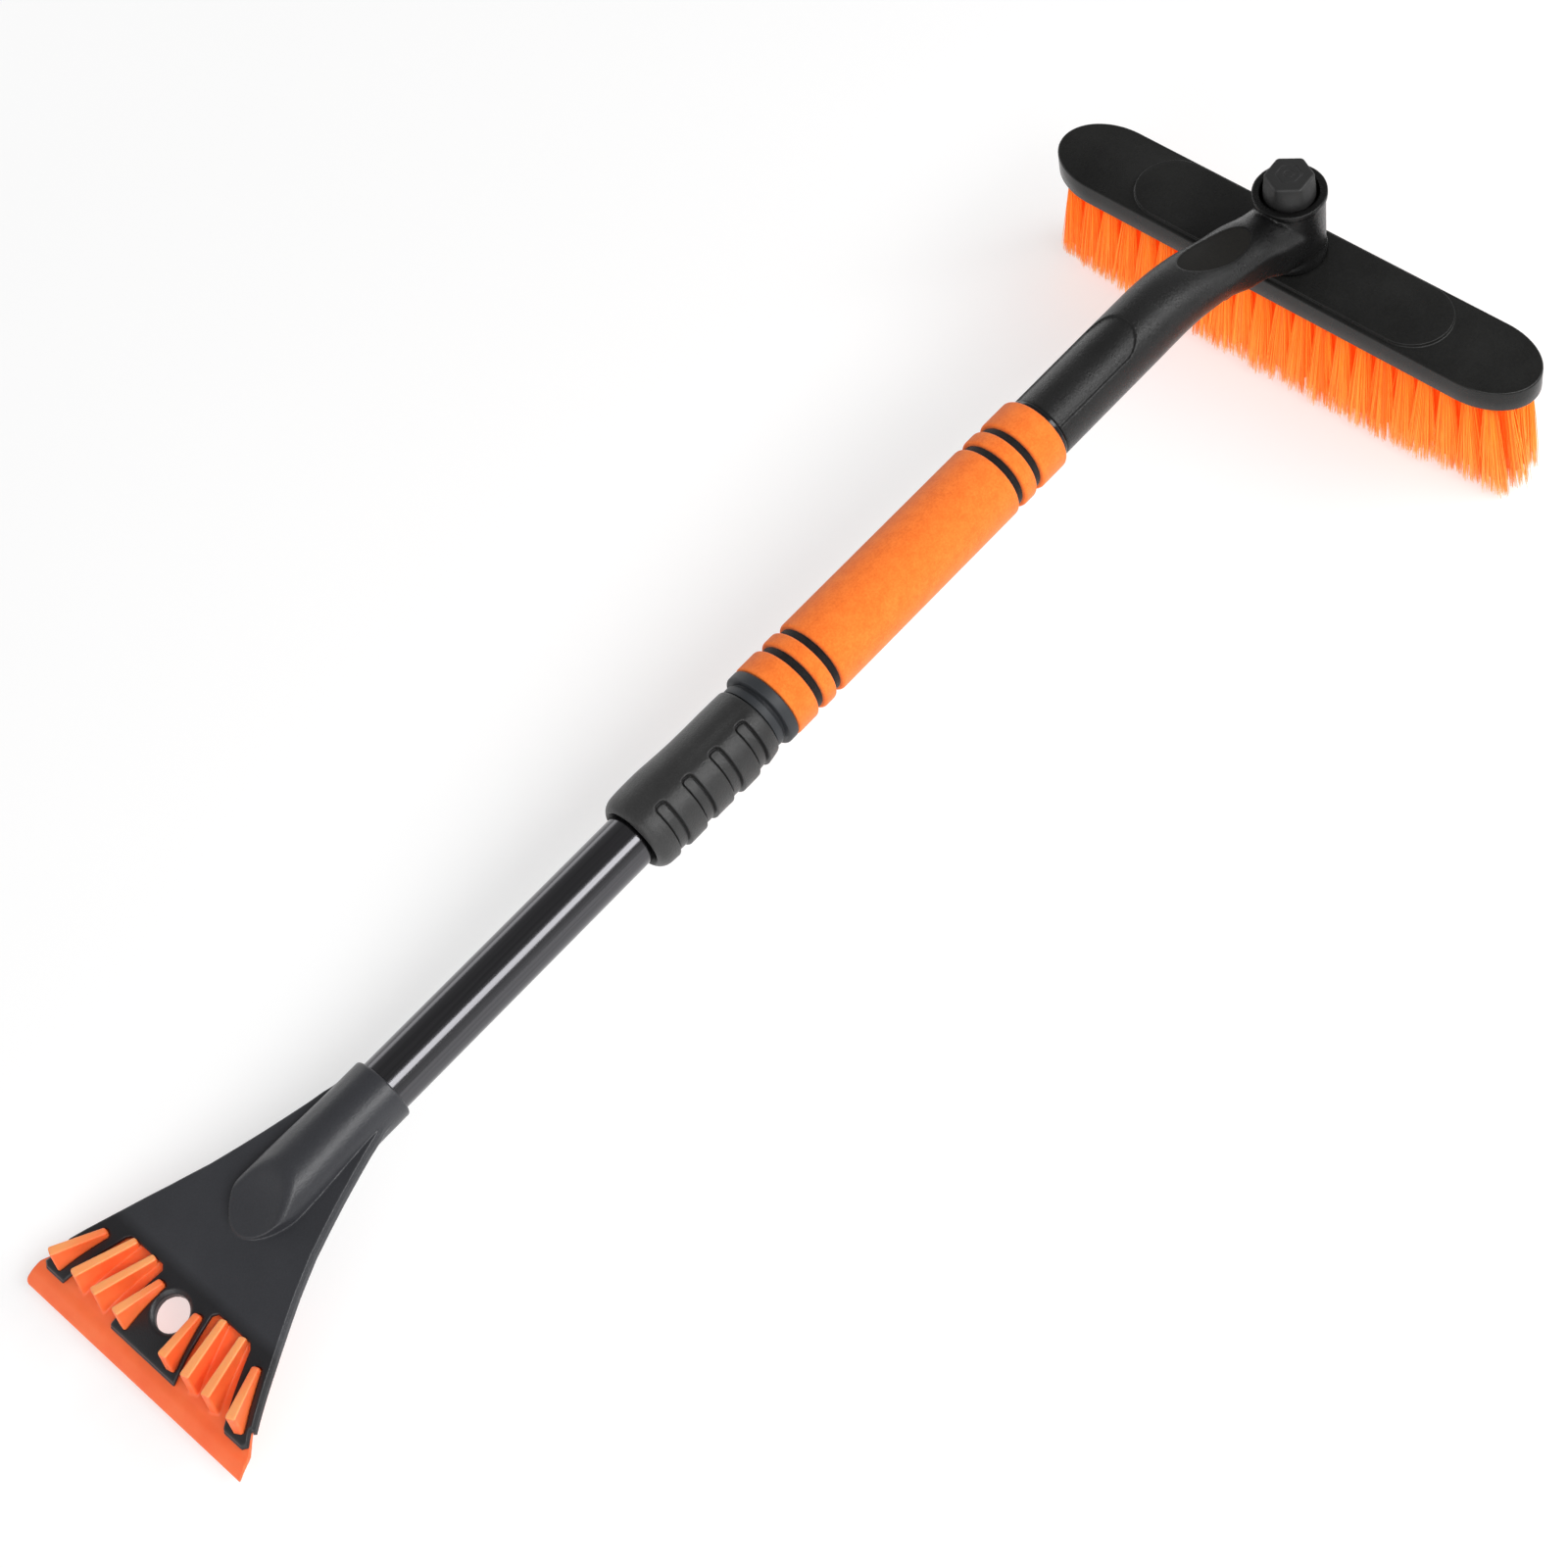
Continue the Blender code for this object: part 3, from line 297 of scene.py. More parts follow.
def surface_net(field, low, high, step):
    """Points and outward quads of the surface where field(x, y, z) is zero."""
    axes = [np.arange(lo, hi + step, step) for lo, hi in zip(low, high)]
    x, y, z = np.meshgrid(*axes, indexing="ij", sparse=True)
    value = np.broadcast_to(field(x, y, z), [len(a) for a in axes])
    cells = [n - 1 for n in value.shape]

    def corner(offset):
        return value[tuple(slice(o, o + n) for o, n in zip(offset, cells))]

    within = sum((corner(c) < 0).astype(np.int8) for c in CELL_CORNERS)
    active = (within > 0) & (within < 8)
    number = np.full(cells, -1, dtype=np.int32)
    number[active] = np.arange(active.sum())
    at_corner = [corner(c)[active] for c in CELL_CORNERS]
    total = np.zeros((len(at_corner[0]), 3))
    count = np.zeros(len(at_corner[0]))
    for a, b in CELL_EDGES:
        va, vb = at_corner[a], at_corner[b]
        crosses = (va < 0) != (vb < 0)
        t = np.where(crosses, va / np.where(crosses, va - vb, 1.0), 0.0)
        start, end = np.array(CELL_CORNERS[a]), np.array(CELL_CORNERS[b])
        total += np.where(crosses[:, None], start + t[:, None] * (end - start), 0.0)
        count += crosses
    points = np.array(low) + (np.argwhere(active) + total / count[:, None]) * step

    quads = []
    for axis in range(3):
        u, v = (axis + 1) % 3, (axis + 2) % 3
        starts = np.take(value, range(cells[axis]), axis) < 0
        ends = np.take(value, range(1, cells[axis] + 1), axis) < 0
        at = np.argwhere(starts != ends)
        inner = (at[:, u] > 0) & (at[:, v] > 0) & (at[:, u] < cells[u]) & (at[:, v] < cells[v])
        at = at[inner]
        ring = []
        for du, dv in ((-1, -1), (0, -1), (0, 0), (-1, 0)):
            cell = at.copy()
            cell[:, u] += du
            cell[:, v] += dv
            ring.append(number[tuple(cell.T)])
        ring = np.stack(ring, 1)
        outward = starts[tuple(at.T)]
        quads.append(np.where(outward[:, None], ring, ring[:, ::-1]))
    return points, np.concatenate(quads)


def pull_to_surface(points, field, step, rounds=4, reach=0.04):
    """Moves points onto the field's zero surface, by Newton steps."""
    for _ in range(rounds):
        x, y, z = points.T
        slope = np.stack([
            field(x + reach, y, z) - field(x - reach, y, z),
            field(x, y + reach, z) - field(x, y - reach, z),
            field(x, y, z + reach) - field(x, y, z - reach),
        ], 1) / (2 * reach)
        size = np.maximum((slope**2).sum(1), 0.1)
        move = slope * (field(x, y, z) / size)[:, None]
        length = np.maximum(np.linalg.norm(move, axis=1), 1e-9)
        points = points - move * np.minimum(1.0, 0.4 * step / length)[:, None]
    return points


def solid(name, field, low, high, step):
    """A closed smooth mesh of the space where field(x, y, z) is negative."""
    points, quads = surface_net(field, low, high, step)
    return mesh_object(name, pull_to_surface(points, field, step), quads)


def grid_faces(rows, columns, close_rows):
    """Quads over a grid of points whose columns go round, one row after another."""
    faces = []
    for r in range(rows if close_rows else rows - 1):
        a, b = r * columns, (r + 1) % rows * columns
        for c in range(columns):
            d = (c + 1) % columns
            faces.append((a + c, a + d, b + d, b + c))
    return faces


def lathe(name, profile, segments=160):
    """A ring-shaped solid about the shaft, from its closed outline in X and radius."""
    angle = np.arange(segments) * 2 * math.pi / segments
    points = [(x, r * math.cos(t), r * math.sin(t)) for x, r in profile for t in angle]
    ob = mesh_object(name, points, grid_faces(len(profile), segments, True))
    return outward(ob)


def outward(ob):
    """Turns a closed mesh's faces to look out."""
    bm = bmesh.new()
    bm.from_mesh(ob.data)
    bmesh.ops.recalc_face_normals(bm, faces=bm.faces)
    bm.to_mesh(ob.data)
    bm.free()
    ob.data.shade_smooth()
    return ob


def place(ob, body, slot, mat, *nodes):
    """Gives a piece its body, its finish and the CAD nodes it stands for."""
    ob.data.materials.clear()
    ob.data.materials.append(mat)
    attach(ob, body)
    if nodes:
        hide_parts(*nodes)


# ================================================================= materials
def set_stops(ramp_node, stops):
    """Fills a colour ramp node. stops are (position, colour), in order."""
    elements = ramp_node.color_ramp.elements
    while len(elements) < len(stops):
        elements.new(0.5)
    for element, (position, colour) in zip(elements, stops):
        element.position = position
        element.color = (*colour, 1.0)


class Nodes:
    """A small helper for one Principled material and its texture nodes."""

    def __init__(self, name, colour, roughness, metallic=0.0, specular=0.5):
        self.mat = bpy.data.materials.new(name)
        self.mat.use_nodes = True
        self.tree = self.mat.node_tree
        self.shader = self.tree.nodes["Principled BSDF"]
        self.set("Base Color", (*colour, 1.0))
        self.set("Roughness", roughness)
        self.set("Metallic", metallic)
        self.set("Specular IOR Level", specular)
        self.bump = None
        # texture coordinates in the tool frame, in metres
        to_tool = self.add("ShaderNodeMapping")
        to_tool.inputs["Location"].default_value = TOOL.inverted().translation
        to_tool.inputs["Rotation"].default_value = TOOL.inverted().to_euler()
        self.link(self.add("ShaderNodeTexCoord").outputs["Object"], to_tool.inputs["Vector"])
        self.place = to_tool.outputs["Vector"]

    def add(self, kind, **values):
        node = self.tree.nodes.new(kind)
        for key, value in values.items():
            setattr(node, key, value)
        return node

    def set(self, socket, value):
        self.shader.inputs[socket].default_value = value

    def link(self, source, target):
        self.tree.links.new(source, target)

    def part(self, axis):
        """One coordinate of the tool frame, in metres."""
        split = self.add("ShaderNodeSeparateXYZ")
        self.link(self.place, split.inputs["Vector"])
        return split.outputs[axis]

    def stretched(self, scale):
        """Texture coordinates scaled unevenly, in 1/m."""
        node = self.add("ShaderNodeMapping")
        node.inputs["Scale"].default_value = scale
        self.link(self.place, node.inputs["Vector"])
        return node.outputs["Vector"]

    def noise(self, scale, detail=3.0, roughness=0.55, vector=None, distortion=0.0):
        node = self.add("ShaderNodeTexNoise")
        node.inputs["Scale"].default_value = scale
        node.inputs["Detail"].default_value = detail
        node.inputs["Roughness"].default_value = roughness
        node.inputs["Distortion"].default_value = distortion
        self.link(vector or self.place, node.inputs["Vector"])
        return node.outputs["Fac"]

    def cells(self, scale, feature="F1"):
        node = self.add("ShaderNodeTexVoronoi", feature=feature)
        node.inputs["Scale"].default_value = scale
        self.link(self.place, node.inputs["Vector"])
        return node.outputs["Distance"]

    def ramp(self, source, stops):
        """Colours by value."""
        node = self.add("ShaderNodeValToRGB")
        set_stops(node, stops)
        self.link(source, node.inputs["Fac"])
        return node.outputs["Color"]

    def colour(self, source, stops):
        self.link(self.ramp(source, stops), self.shader.inputs["Base Color"])

    def spread(self, source, low, high, target):
        """Maps a noise to low..high on a number socket of the shader."""
        node = self.add("ShaderNodeMapRange")
        node.inputs["From Min"].default_value = 0.3
        node.inputs["From Max"].default_value = 0.7
        node.inputs["To Min"].default_value = low
        node.inputs["To Max"].default_value = high
        self.link(source, node.inputs["Value"])
        self.link(node.outputs["Result"], self.shader.inputs[target])

    def math(self, operation, first, second, third=None):
        """A math node's output. The operands are numbers or sockets."""
        node = self.add("ShaderNodeMath", operation=operation)
        for socket, value in zip(node.inputs, (first, second, third)):
            if isinstance(value, (int, float)):
                socket.default_value = value
            elif value is not None:
                self.link(value, socket)
        return node.outputs[0]

    def oval_mask(self, centre, half, above):
        """1 on an oval seen along Z, above a height; 0 elsewhere. Lengths in metres."""
        square = 0.0
        for axis, c, h in zip("XY", centre, half):
            share = self.math("MULTIPLY_ADD", self.part(axis), 1.0 / h, -c / h)
            square = self.math("ADD", self.math("POWER", share, 2.0), square)
        on_oval = self.math("LESS_THAN", square, 1.0)
        return self.math("MULTIPLY", on_oval, self.math("GREATER_THAN", self.part("Z"), above))

    def blend(self, first, second, share):
        """first and second added up, with share of the second."""
        return self.math("MULTIPLY_ADD", first, 1.0 - share, self.math("MULTIPLY", second, share))

    def along(self, axis, start, end):
        """0 before start and 1 after end along one axis of the tool frame, in mm."""
        node = self.add("ShaderNodeMapRange")
        node.inputs["From Min"].default_value = start * MM
        node.inputs["From Max"].default_value = end * MM
        self.link(self.part(axis), node.inputs["Value"])
        return node.outputs["Result"]

    def mixed(self, factor, first, second):
        """A blend of two colours by a factor."""
        node = self.add("ShaderNodeMix", data_type="RGBA")
        self.link(factor, node.inputs["Factor"])
        self.link(first, node.inputs["A"])
        self.link(second, node.inputs["B"])
        return node.outputs["Result"]

    def mix_colour(self, factor, first, second):
        self.link(self.mixed(factor, first, second), self.shader.inputs["Base Color"])

    def mix_number(self, factor, target, value):
        """Blends what drives a number socket towards a value where factor is 1."""
        node = self.add("ShaderNodeMix", data_type="FLOAT")
        self.link(factor, node.inputs["Factor"])
        self.link(self.shader.inputs[target].links[0].from_socket, node.inputs["A"])
        node.inputs["B"].default_value = value
        self.link(node.outputs["Result"], self.shader.inputs[target])

    def add_bump(self, source, depth_mm):
        """One more layer of surface relief."""
        node = self.add("ShaderNodeBump")
        node.inputs["Strength"].default_value = 1.0
        node.inputs["Distance"].default_value = depth_mm * MM
        self.link(source, node.inputs["Height"])
        if self.bump:
            self.link(self.bump, node.inputs["Normal"])
        self.bump = node.outputs["Normal"]
        self.link(self.bump, self.shader.inputs["Normal"])


def tinted(colour, by):
    """A colour made lighter or darker."""
    return tuple(min(1.0, c * by) for c in colour)


def moulded_plastic(name, colour, roughness, grain_mm, grain_depth, blotch=0.12, specular=0.5,
                    lobe_shade_colour=None):
    """Moulded plastic: spark-eroded grain, faint flow marks and handling marks in the gloss.

    The lobe colour is painted shade: a darker colour for the scraper's lobes, the part of it that lies on
    the blade, which also darkens the hang hole's wall.
    """
    n = Nodes(name, colour, roughness, specular=specular)
    grain = n.noise(1000.0 / grain_mm, 3.0, 0.7)
    flow = n.blend(n.noise(22.0, 4.0, 0.6), grain, 0.4)
    tones = [n.ramp(flow, [(0.36, tinted(tone, 1 - blotch)), (0.64, tinted(tone, 1 + blotch))])
             for tone in (colour, lobe_shade_colour) if tone]
    if lobe_shade_colour:
        # painted shade: past the fan's step the lobes take the darker lobe colour
        n.mix_colour(n.along("X", FAN_STEP_X + 3.0, FAN_STEP_X - 2.0), *tones)
    else:
        n.link(tones[0], n.shader.inputs["Base Color"])
    n.spread(n.noise(60.0, 5.0, 0.65), roughness - 0.05, roughness + 0.07, "Roughness")
    n.add_bump(grain, grain_depth)
    return n.mat


def leather_grain_plastic(name, colour, roughness):
    """Satin black plastic with fine pebbled grain, painted shade that makes it darker by the hub, and
    matt on the thumb pad.
    """
    n = Nodes(name, colour, roughness, specular=0.28)
    flow = n.noise(30.0, 4.0, 0.6)
    n.spread(n.noise(90.0, 4.0, 0.6), roughness - 0.04, roughness + 0.06, "Roughness")
    n.add_bump(n.noise(1050.0, 3.0, 0.7, distortion=0.6), 0.22)
    n.add_bump(n.cells(2300.0, "SMOOTH_F1"), 0.04)
    satin_black = n.ramp(flow, [(0.3, tinted(colour, 0.8)), (0.7, tinted(colour, 1.25))])
    # painted shade: a much darker copy of the arm's black, blended in towards the hub
    painted_hub_shade = n.ramp(flow, [(0.3, tinted(colour, 0.2)), (0.7, tinted(colour, 0.3))])
    arm_black_with_shade = n.mixed(n.along("X", *ARM_PAINTED_SHADE_X), satin_black, painted_hub_shade)
    pad_stops = [(0.3, (0.003, 0.0027, 0.002)), (0.7, (0.007, 0.006, 0.004))]
    matt_brown = n.ramp(n.noise(500.0, 4.0, 0.7), pad_stops)
    on_pad = n.oval_mask((PAD_CENTRE_X * MM, 0.0), (PAD_HALF[0] * MM, PAD_HALF[1] * MM), -5.0 * MM)
    n.mix_colour(on_pad, arm_black_with_shade, matt_brown)
    n.mix_number(on_pad, "Roughness", 0.8)
    return n.mat


def anodised_tube(name, colour):
    """Glossy black anodised aluminium with drawing lines along the tube."""
    n = Nodes(name, colour, 0.16, metallic=1.0)
    lines = n.noise(1.0, 3.0, 0.6, vector=n.stretched((8.0, 900.0, 900.0)))
    n.colour(lines, [(0.3, tinted(colour, 0.85)), (0.7, tinted(colour, 1.15))])
    n.spread(lines, 0.13, 0.19, "Roughness")
    n.add_bump(lines, 0.002)
    return n.mat


def foam_rubber(name, colour, dark, light):
    """Closed-cell foam: fine pores, a soft mottled colour and a powdery sheen."""
    n = Nodes(name, colour, 0.9, specular=0.2)
    mottle = n.blend(n.noise(160.0, 6.0, 0.7), n.noise(850.0, 3.0, 0.7), 0.5)
    n.colour(mottle, [(0.38, dark), (0.5, colour), (0.64, light)])
    n.add_bump(n.noise(1100.0, 4.0, 0.75), 0.16)
    n.add_bump(n.cells(1500.0), 0.05)
    n.set("Sheen Weight", 0.15)
    n.set("Sheen Roughness", 0.5)
    return n.mat


# the rib crests lie on one sloping plane: z = -(CREST_SLOPE * x) - CREST_START
CREST_SLOPE = (RIB_TOP_Z[1] - RIB_TOP_Z[0]) / (RIBS[1][1] - RIB_LOW_X)
CREST_START = -RIB_TOP_Z[0] - CREST_SLOPE * RIBS[1][1]


def blade_plastic(name):
    """Orange copolymer: semi-gloss and a little translucent, with painted light making the rib crests
    lighter.
    """
    n = Nodes(name, (1.0, 0.165, 0.042), 0.4, specular=0.5)
    flow = n.noise(45.0, 4.0, 0.6)
    n.spread(n.noise(70.0, 4.0), 0.36, 0.46, "Roughness")
    n.add_bump(n.noise(1300.0, 2.0), 0.02)
    # painted light: a lighter orange is blended onto the rib crests, which face the light; the mask rises
    # just below the crest plane
    crest = n.math("MULTIPLY_ADD", n.part("X"), CREST_SLOPE, CREST_START * MM)
    above = n.math("ADD", n.part("Z"), crest)
    painted_crest_light = n.math("MULTIPLY_ADD", above, 1.0 / (0.7 * MM), 1.2)
    painted_crest_light = n.math("MINIMUM", n.math("MAXIMUM", painted_crest_light, 0.0), 1.0)
    base = n.ramp(flow, [(0.3, (0.94, 0.140, 0.032)), (0.7, (1.0, 0.190, 0.052))])
    light = n.ramp(flow, [(0.3, (1.0, 0.34, 0.11)), (0.7, (1.0, 0.40, 0.14))])
    n.mix_colour(painted_crest_light, base, light)
    n.set("Subsurface Weight", 0.25)
    n.set("Subsurface Radius", (1.0, 0.25, 0.08))
    n.set("Subsurface Scale", 0.003)
    return n.mat


def bristle_fibre(name):
    """Synthetic bristle: deep orange at the roots, pale orange at the flagged tips, with painted shade
    deepening the roots and a painted orange glow.
    """
    n = Nodes(name, (1.0, 0.22, 0.03), 0.45, specular=0.25)
    # darker towards the roots: partly painted shade where the tufts crowd, while the paler flagged tips
    # are the fibre's own
    shade = n.ramp(n.along("Z", PLATE_Z[0], BRISTLE_TIP_Z), [
        (0.0, (1.0, 0.250, 0.015)), (0.35, (1.0, 0.380, 0.035)),
        (0.75, (1.0, 0.490, 0.080)), (1.0, (1.0, 0.640, 0.190)),
    ])
    tone = n.add("ShaderNodeAttribute", attribute_name="tone")
    tint = n.ramp(tone.outputs["Fac"], [
        (0.0, (0.95, 0.45, 0.25)), (0.35, (1.0, 0.85, 0.8)), (1.0, (1.0, 1.0, 1.0)),
    ])
    mix = n.add("ShaderNodeMix", data_type="RGBA", blend_type="MULTIPLY")
    mix.inputs["Factor"].default_value = 1.0
    n.link(shade, mix.inputs["A"])
    n.link(tint, mix.inputs["B"])
    n.link(mix.outputs["Result"], n.shader.inputs["Base Color"])
    n.spread(n.noise(400.0, 2.0), 0.4, 0.55, "Roughness")
    # painted glow: a faint orange emission brightens the fibres as if lit through
    n.set("Emission Color", (1.0, 0.13, 0.01, 1.0))
    n.set("Emission Strength", 0.22)
    return n.mat


def bright_steel(name):
    """Bare steel with faint marks."""
    n = Nodes(name, (0.62, 0.62, 0.63), 0.3, metallic=1.0)
    marks = n.noise(300.0, 4.0)
    n.colour(marks, [(0.3, (0.52, 0.52, 0.53)), (0.7, (0.68, 0.68, 0.69))])
    n.spread(marks, 0.25, 0.4, "Roughness")
    n.add_bump(marks, 0.01)
    return n.mat


MATS = {
    "body": moulded_plastic("scraper_plastic", (0.032, 0.033, 0.038), 0.33, 1 / 1.1, 0.12,
                            specular=0.46, lobe_shade_colour=(0.013, 0.013, 0.015)),
    "ferrule": moulded_plastic("ferrule_plastic", (0.026, 0.029, 0.033), 0.5, 0.9, 0.06, 0.08, 0.4),
    "blade": blade_plastic("blade_plastic"),
    "tube": anodised_tube("tube_anodised", (0.100, 0.099, 0.105)),
    "nylon": moulded_plastic("nylon_white", (0.62, 0.61, 0.58), 0.5, 0.8, 0.02),
    "grip": moulded_plastic("grip_rubber", (0.028, 0.028, 0.028), 0.36, 0.95, 0.22, 0.25, 0.38),
    "foam_orange": foam_rubber(
        "foam_orange", (0.93, 0.195, 0.024), (0.85, 0.155, 0.017), (1.0, 0.240, 0.034)),
    "foam_black": foam_rubber(
        "foam_black", (0.008, 0.008, 0.008), (0.005, 0.005, 0.005), (0.014, 0.014, 0.014)),
    "gloss": moulded_plastic("coupling_plastic", (0.006, 0.006, 0.007), 0.14, 1.5, 0.008, 0.12, 0.4),
    "satin": leather_grain_plastic("arm_plastic", (0.013, 0.013, 0.013), 0.27),
    "plate": moulded_plastic("plate_plastic", (0.0115, 0.0115, 0.011), 0.27, 1.1, 0.05, 0.4, 0.26),
    "button": moulded_plastic("button_plastic", (0.018, 0.018, 0.018), 0.5, 0.8, 0.05, 0.08, 0.4),
    "steel": bright_steel("spring_steel"),
    "bristle": bristle_fibre("bristle_orange"),
}


# ================================================================= scraper
fan_top = curve(FAN_TOP)


def mirrored(side):
    """A closed outline from one side's points, mirrored over the tool's middle."""
    return [(x, y) for x, y in side] + [(x, -y) for x, y in reversed(side)]


FAN_FRONT = ((-134.2, 61.0), (-135.0, 61.2), (-139.5, 63.8), (-142.0, 61.0))
FAN_OUTLINE = mirrored(list(FAN_HALF + FAN_FRONT))
BLADE_OUTLINE = round_corners(
    [(FAN_STEP_X - 0.3, 47.5), (-133.0, 60.0), (-141.0, 66.4), (BLADE_TIP_X, BLADE_HALF + 1.8),
     (BLADE_TIP_X, -BLADE_HALF), (-141.0, -64.8), (-133.0, -59.3), (FAN_STEP_X - 0.3, -47.5)],
    [0, 0, 3.0, 2.0, 0.4, 0, 0, 0],
)
WINDOW = round_corners(
    [(-110.4, 17.2), (-110.4, 36.4), (-112.4, 38.4), (-141.6, 50.0), (-144.6, 53.5), (-152.0, 55.0),
     (-152.0, 17.0), (-144.6, 17.6), (-141.6, 20.2), (-112.4, 15.4)],
    [0.6, 0.6, 0.6, 1.8, 1.8, 0, 0, 1.8, 1.8, 0.6],
)


def rib_field(index, x, across, z, gap=0.0):
    """One ice rib: a wedge with a rounded crest, its low end sloped. gap widens it, but not in front."""
    y_top, x_top, y_low = RIBS[index]
    run = Vector((RIB_LOW_X - x_top, y_low - y_top))
    length = run.length
    dx, dy = run.x / length, run.y / length
    u = (x - x_top) * dx + (across - y_top) * dy
    v = (across - y_top) * dx - (x - x_top) * dy
    t = np.clip(u / length, 0.0, 1.0)
    half = (RIB_WIDTH[0] + (RIB_WIDTH[1] - RIB_WIDTH[0]) * t) / 2
    crest = RIB_TOP_Z[0] + (RIB_TOP_Z[1] - RIB_TOP_Z[0]) * u / length
    depth = crest - z
    d = smooth_max(np.abs(v) - half - 0.02 * depth - gap, -depth, 0.6)
    d = smooth_max(d, -u - 0.03 * depth - gap, 1.2)
    d = smooth_max(d, u - length - 0.10 * depth + 0.8 * gap, 1.2)
    return np.maximum(d, fan_top(x) - 4.6 - z)


def nose_field(x, y, z):
    """Socket cylinder that ends in a rounded nose with a dished facet."""
    flare = 1.0 + 0.075 * ramp(-x, 15.0, 55.0)
    d = smooth_max(np.hypot(y / flare, z) - SOCKET_R, x, 1.4)
    ahead = np.minimum(x - NOSE_CENTRE_X, 0.0)
    foot = (np.hypot(ahead / NOSE_HALF[0], y / NOSE_HALF[1]) - 1.0) * NOSE_HALF[1]
    share = np.clip((x + 84.0) / 32.0, 0.0, 1.3)
    dish = 1.6 * np.sin(math.pi * np.clip(share, 0.0, 1.0)) * (1.0 - (y / 17.0) ** 2)
    facet = (np.abs(z - 0.6) - (0.3 + 15.0 * share - dish)) * 0.88
    d = smooth_max(d, facet, 2.4)
    return smooth_max(d, foot, 0.5)


def body_field(x, y, z):
    """The scraper's moulding: a curved fan on a socket, with a seat for the blade beneath."""
    across = np.abs(y)
    depth = fan_top(x) - z
    side = polygon_distance(FAN_OUTLINE, x, y)
    # the top is stepped in along the -Y edge and the front
    inset = LIP_INSET * np.maximum(ramp(-y, -2.0, 2.0), ramp(-x, 127.0, 130.0))
    upper = smooth_max(side + inset, -depth, 0.9)
    lower = smooth_max(side + 0.12 * (FAN_THICK - depth), LIP_DEPTH - depth, 0.7)
    d = smooth_min(upper, lower, 0.35)
    d = smooth_max(d, depth - FAN_THICK, 1.0)
    # the blade's seat leaves a full-height ring round the hang hole
    from_hole = np.hypot(x - HOLE[0], y - HOLE[1])
    seat = np.maximum(polygon_distance(BLADE_OUTLINE, x, y) - BLADE_PLAY, x - FAN_STEP_X)
    seat = np.maximum(seat, HOLE_R + 0.7 - from_hole)
    d = smooth_max(d, -np.maximum(seat, LOBE_THICK - depth), 0.4)
    # windows and slots for the blade's ribs, then the hang hole
    d = smooth_max(d, -polygon_distance(WINDOW, x, across), 0.9)
    for index in RIB_IN_SLOT:
        d = smooth_max(d, -rib_field(index, x, across, z, RIB_PLAY), 0.3)
    cone = (from_hole - HOLE_RIM_R + depth * 0.9) * 0.74
    d = smooth_max(d, -np.minimum(from_hole - HOLE_R, cone), 0.5)
    d = smooth_min(d, nose_field(x, y, z), 0.5)
    bore = np.maximum(np.hypot(y, z) - TUBE_R - 0.15, SOCKET_FLOOR_X - x)
    return smooth_max(d, -bore, 0.5)


def blade_field(x, y, z):
    """The blade: a curved plate with a thin edge, and eight ribs on top."""
    across = np.abs(y)
    top = fan_top(x) - LOBE_THICK - BLADE_PLAY + 0.9 * ramp(-x, 141.0, 146.0)
    thick = BLADE_THICK[0] - BLADE_THICK[1] * ramp(-x, 143.0, -BLADE_TIP_X)
    side = polygon_distance(BLADE_OUTLINE, x, y)
    d = smooth_max(side, z - top, 0.5)
    d = smooth_max(d, top - thick - z, 0.4)
    hole = np.hypot(x - HOLE[0], y - HOLE[1]) - HOLE_R - 0.8
    d = smooth_max(d, -hole, 0.4)
    for index in range(len(RIBS)):
        d = smooth_min(d, rib_field(index, x, across, z), 0.9)
    return d


def build_scraper():
    body = solid("scraper_shell", body_field, (-144.0, -66.0, -21.0), (1.5, 66.0, 16.5), 0.56)
    place(body, "inner_shaft", "scraper_plastic", MATS["body"], "scraper_body")
    blade = solid("ice_blade", blade_field, (-152.5, -68.5, -25.0), (-106.0, 70.0, 3.0), 0.5)
    place(blade, "inner_shaft", "blade_plastic", MATS["blade"], "scraper_blade")


# ================================================================= shaft
def build_tubes():
    for name, node, body, radius, wall, (x0, x1) in TUBES:
        bore = radius - wall
        profile = round_corners([(x0, bore), (x1, bore), (x1, radius), (x0, radius)], 0.3, 3)
        place(lathe(name, profile), body, "tube_anodised", MATS["tube"], node)


# the collar's radius along the shaft, on its plain side and on its slotted side
smooth_side = curve((
    (140.0, 17.9), (150.0, 18.0), (155.0, 18.5), (162.0, 18.7), (170.0, 18.65), (178.0, 18.2),
    (187.0, 17.7), (196.0, 17.5), (210.0, 17.5), (218.0, 17.4), (224.0, 17.2),
))
ribbed_side = curve((
    (140.0, 18.4), (150.0, 18.9), (158.0, 19.3), (185.0, 19.35), (212.0, 19.3), (218.0, 18.6),
    (224.0, 17.4),
))


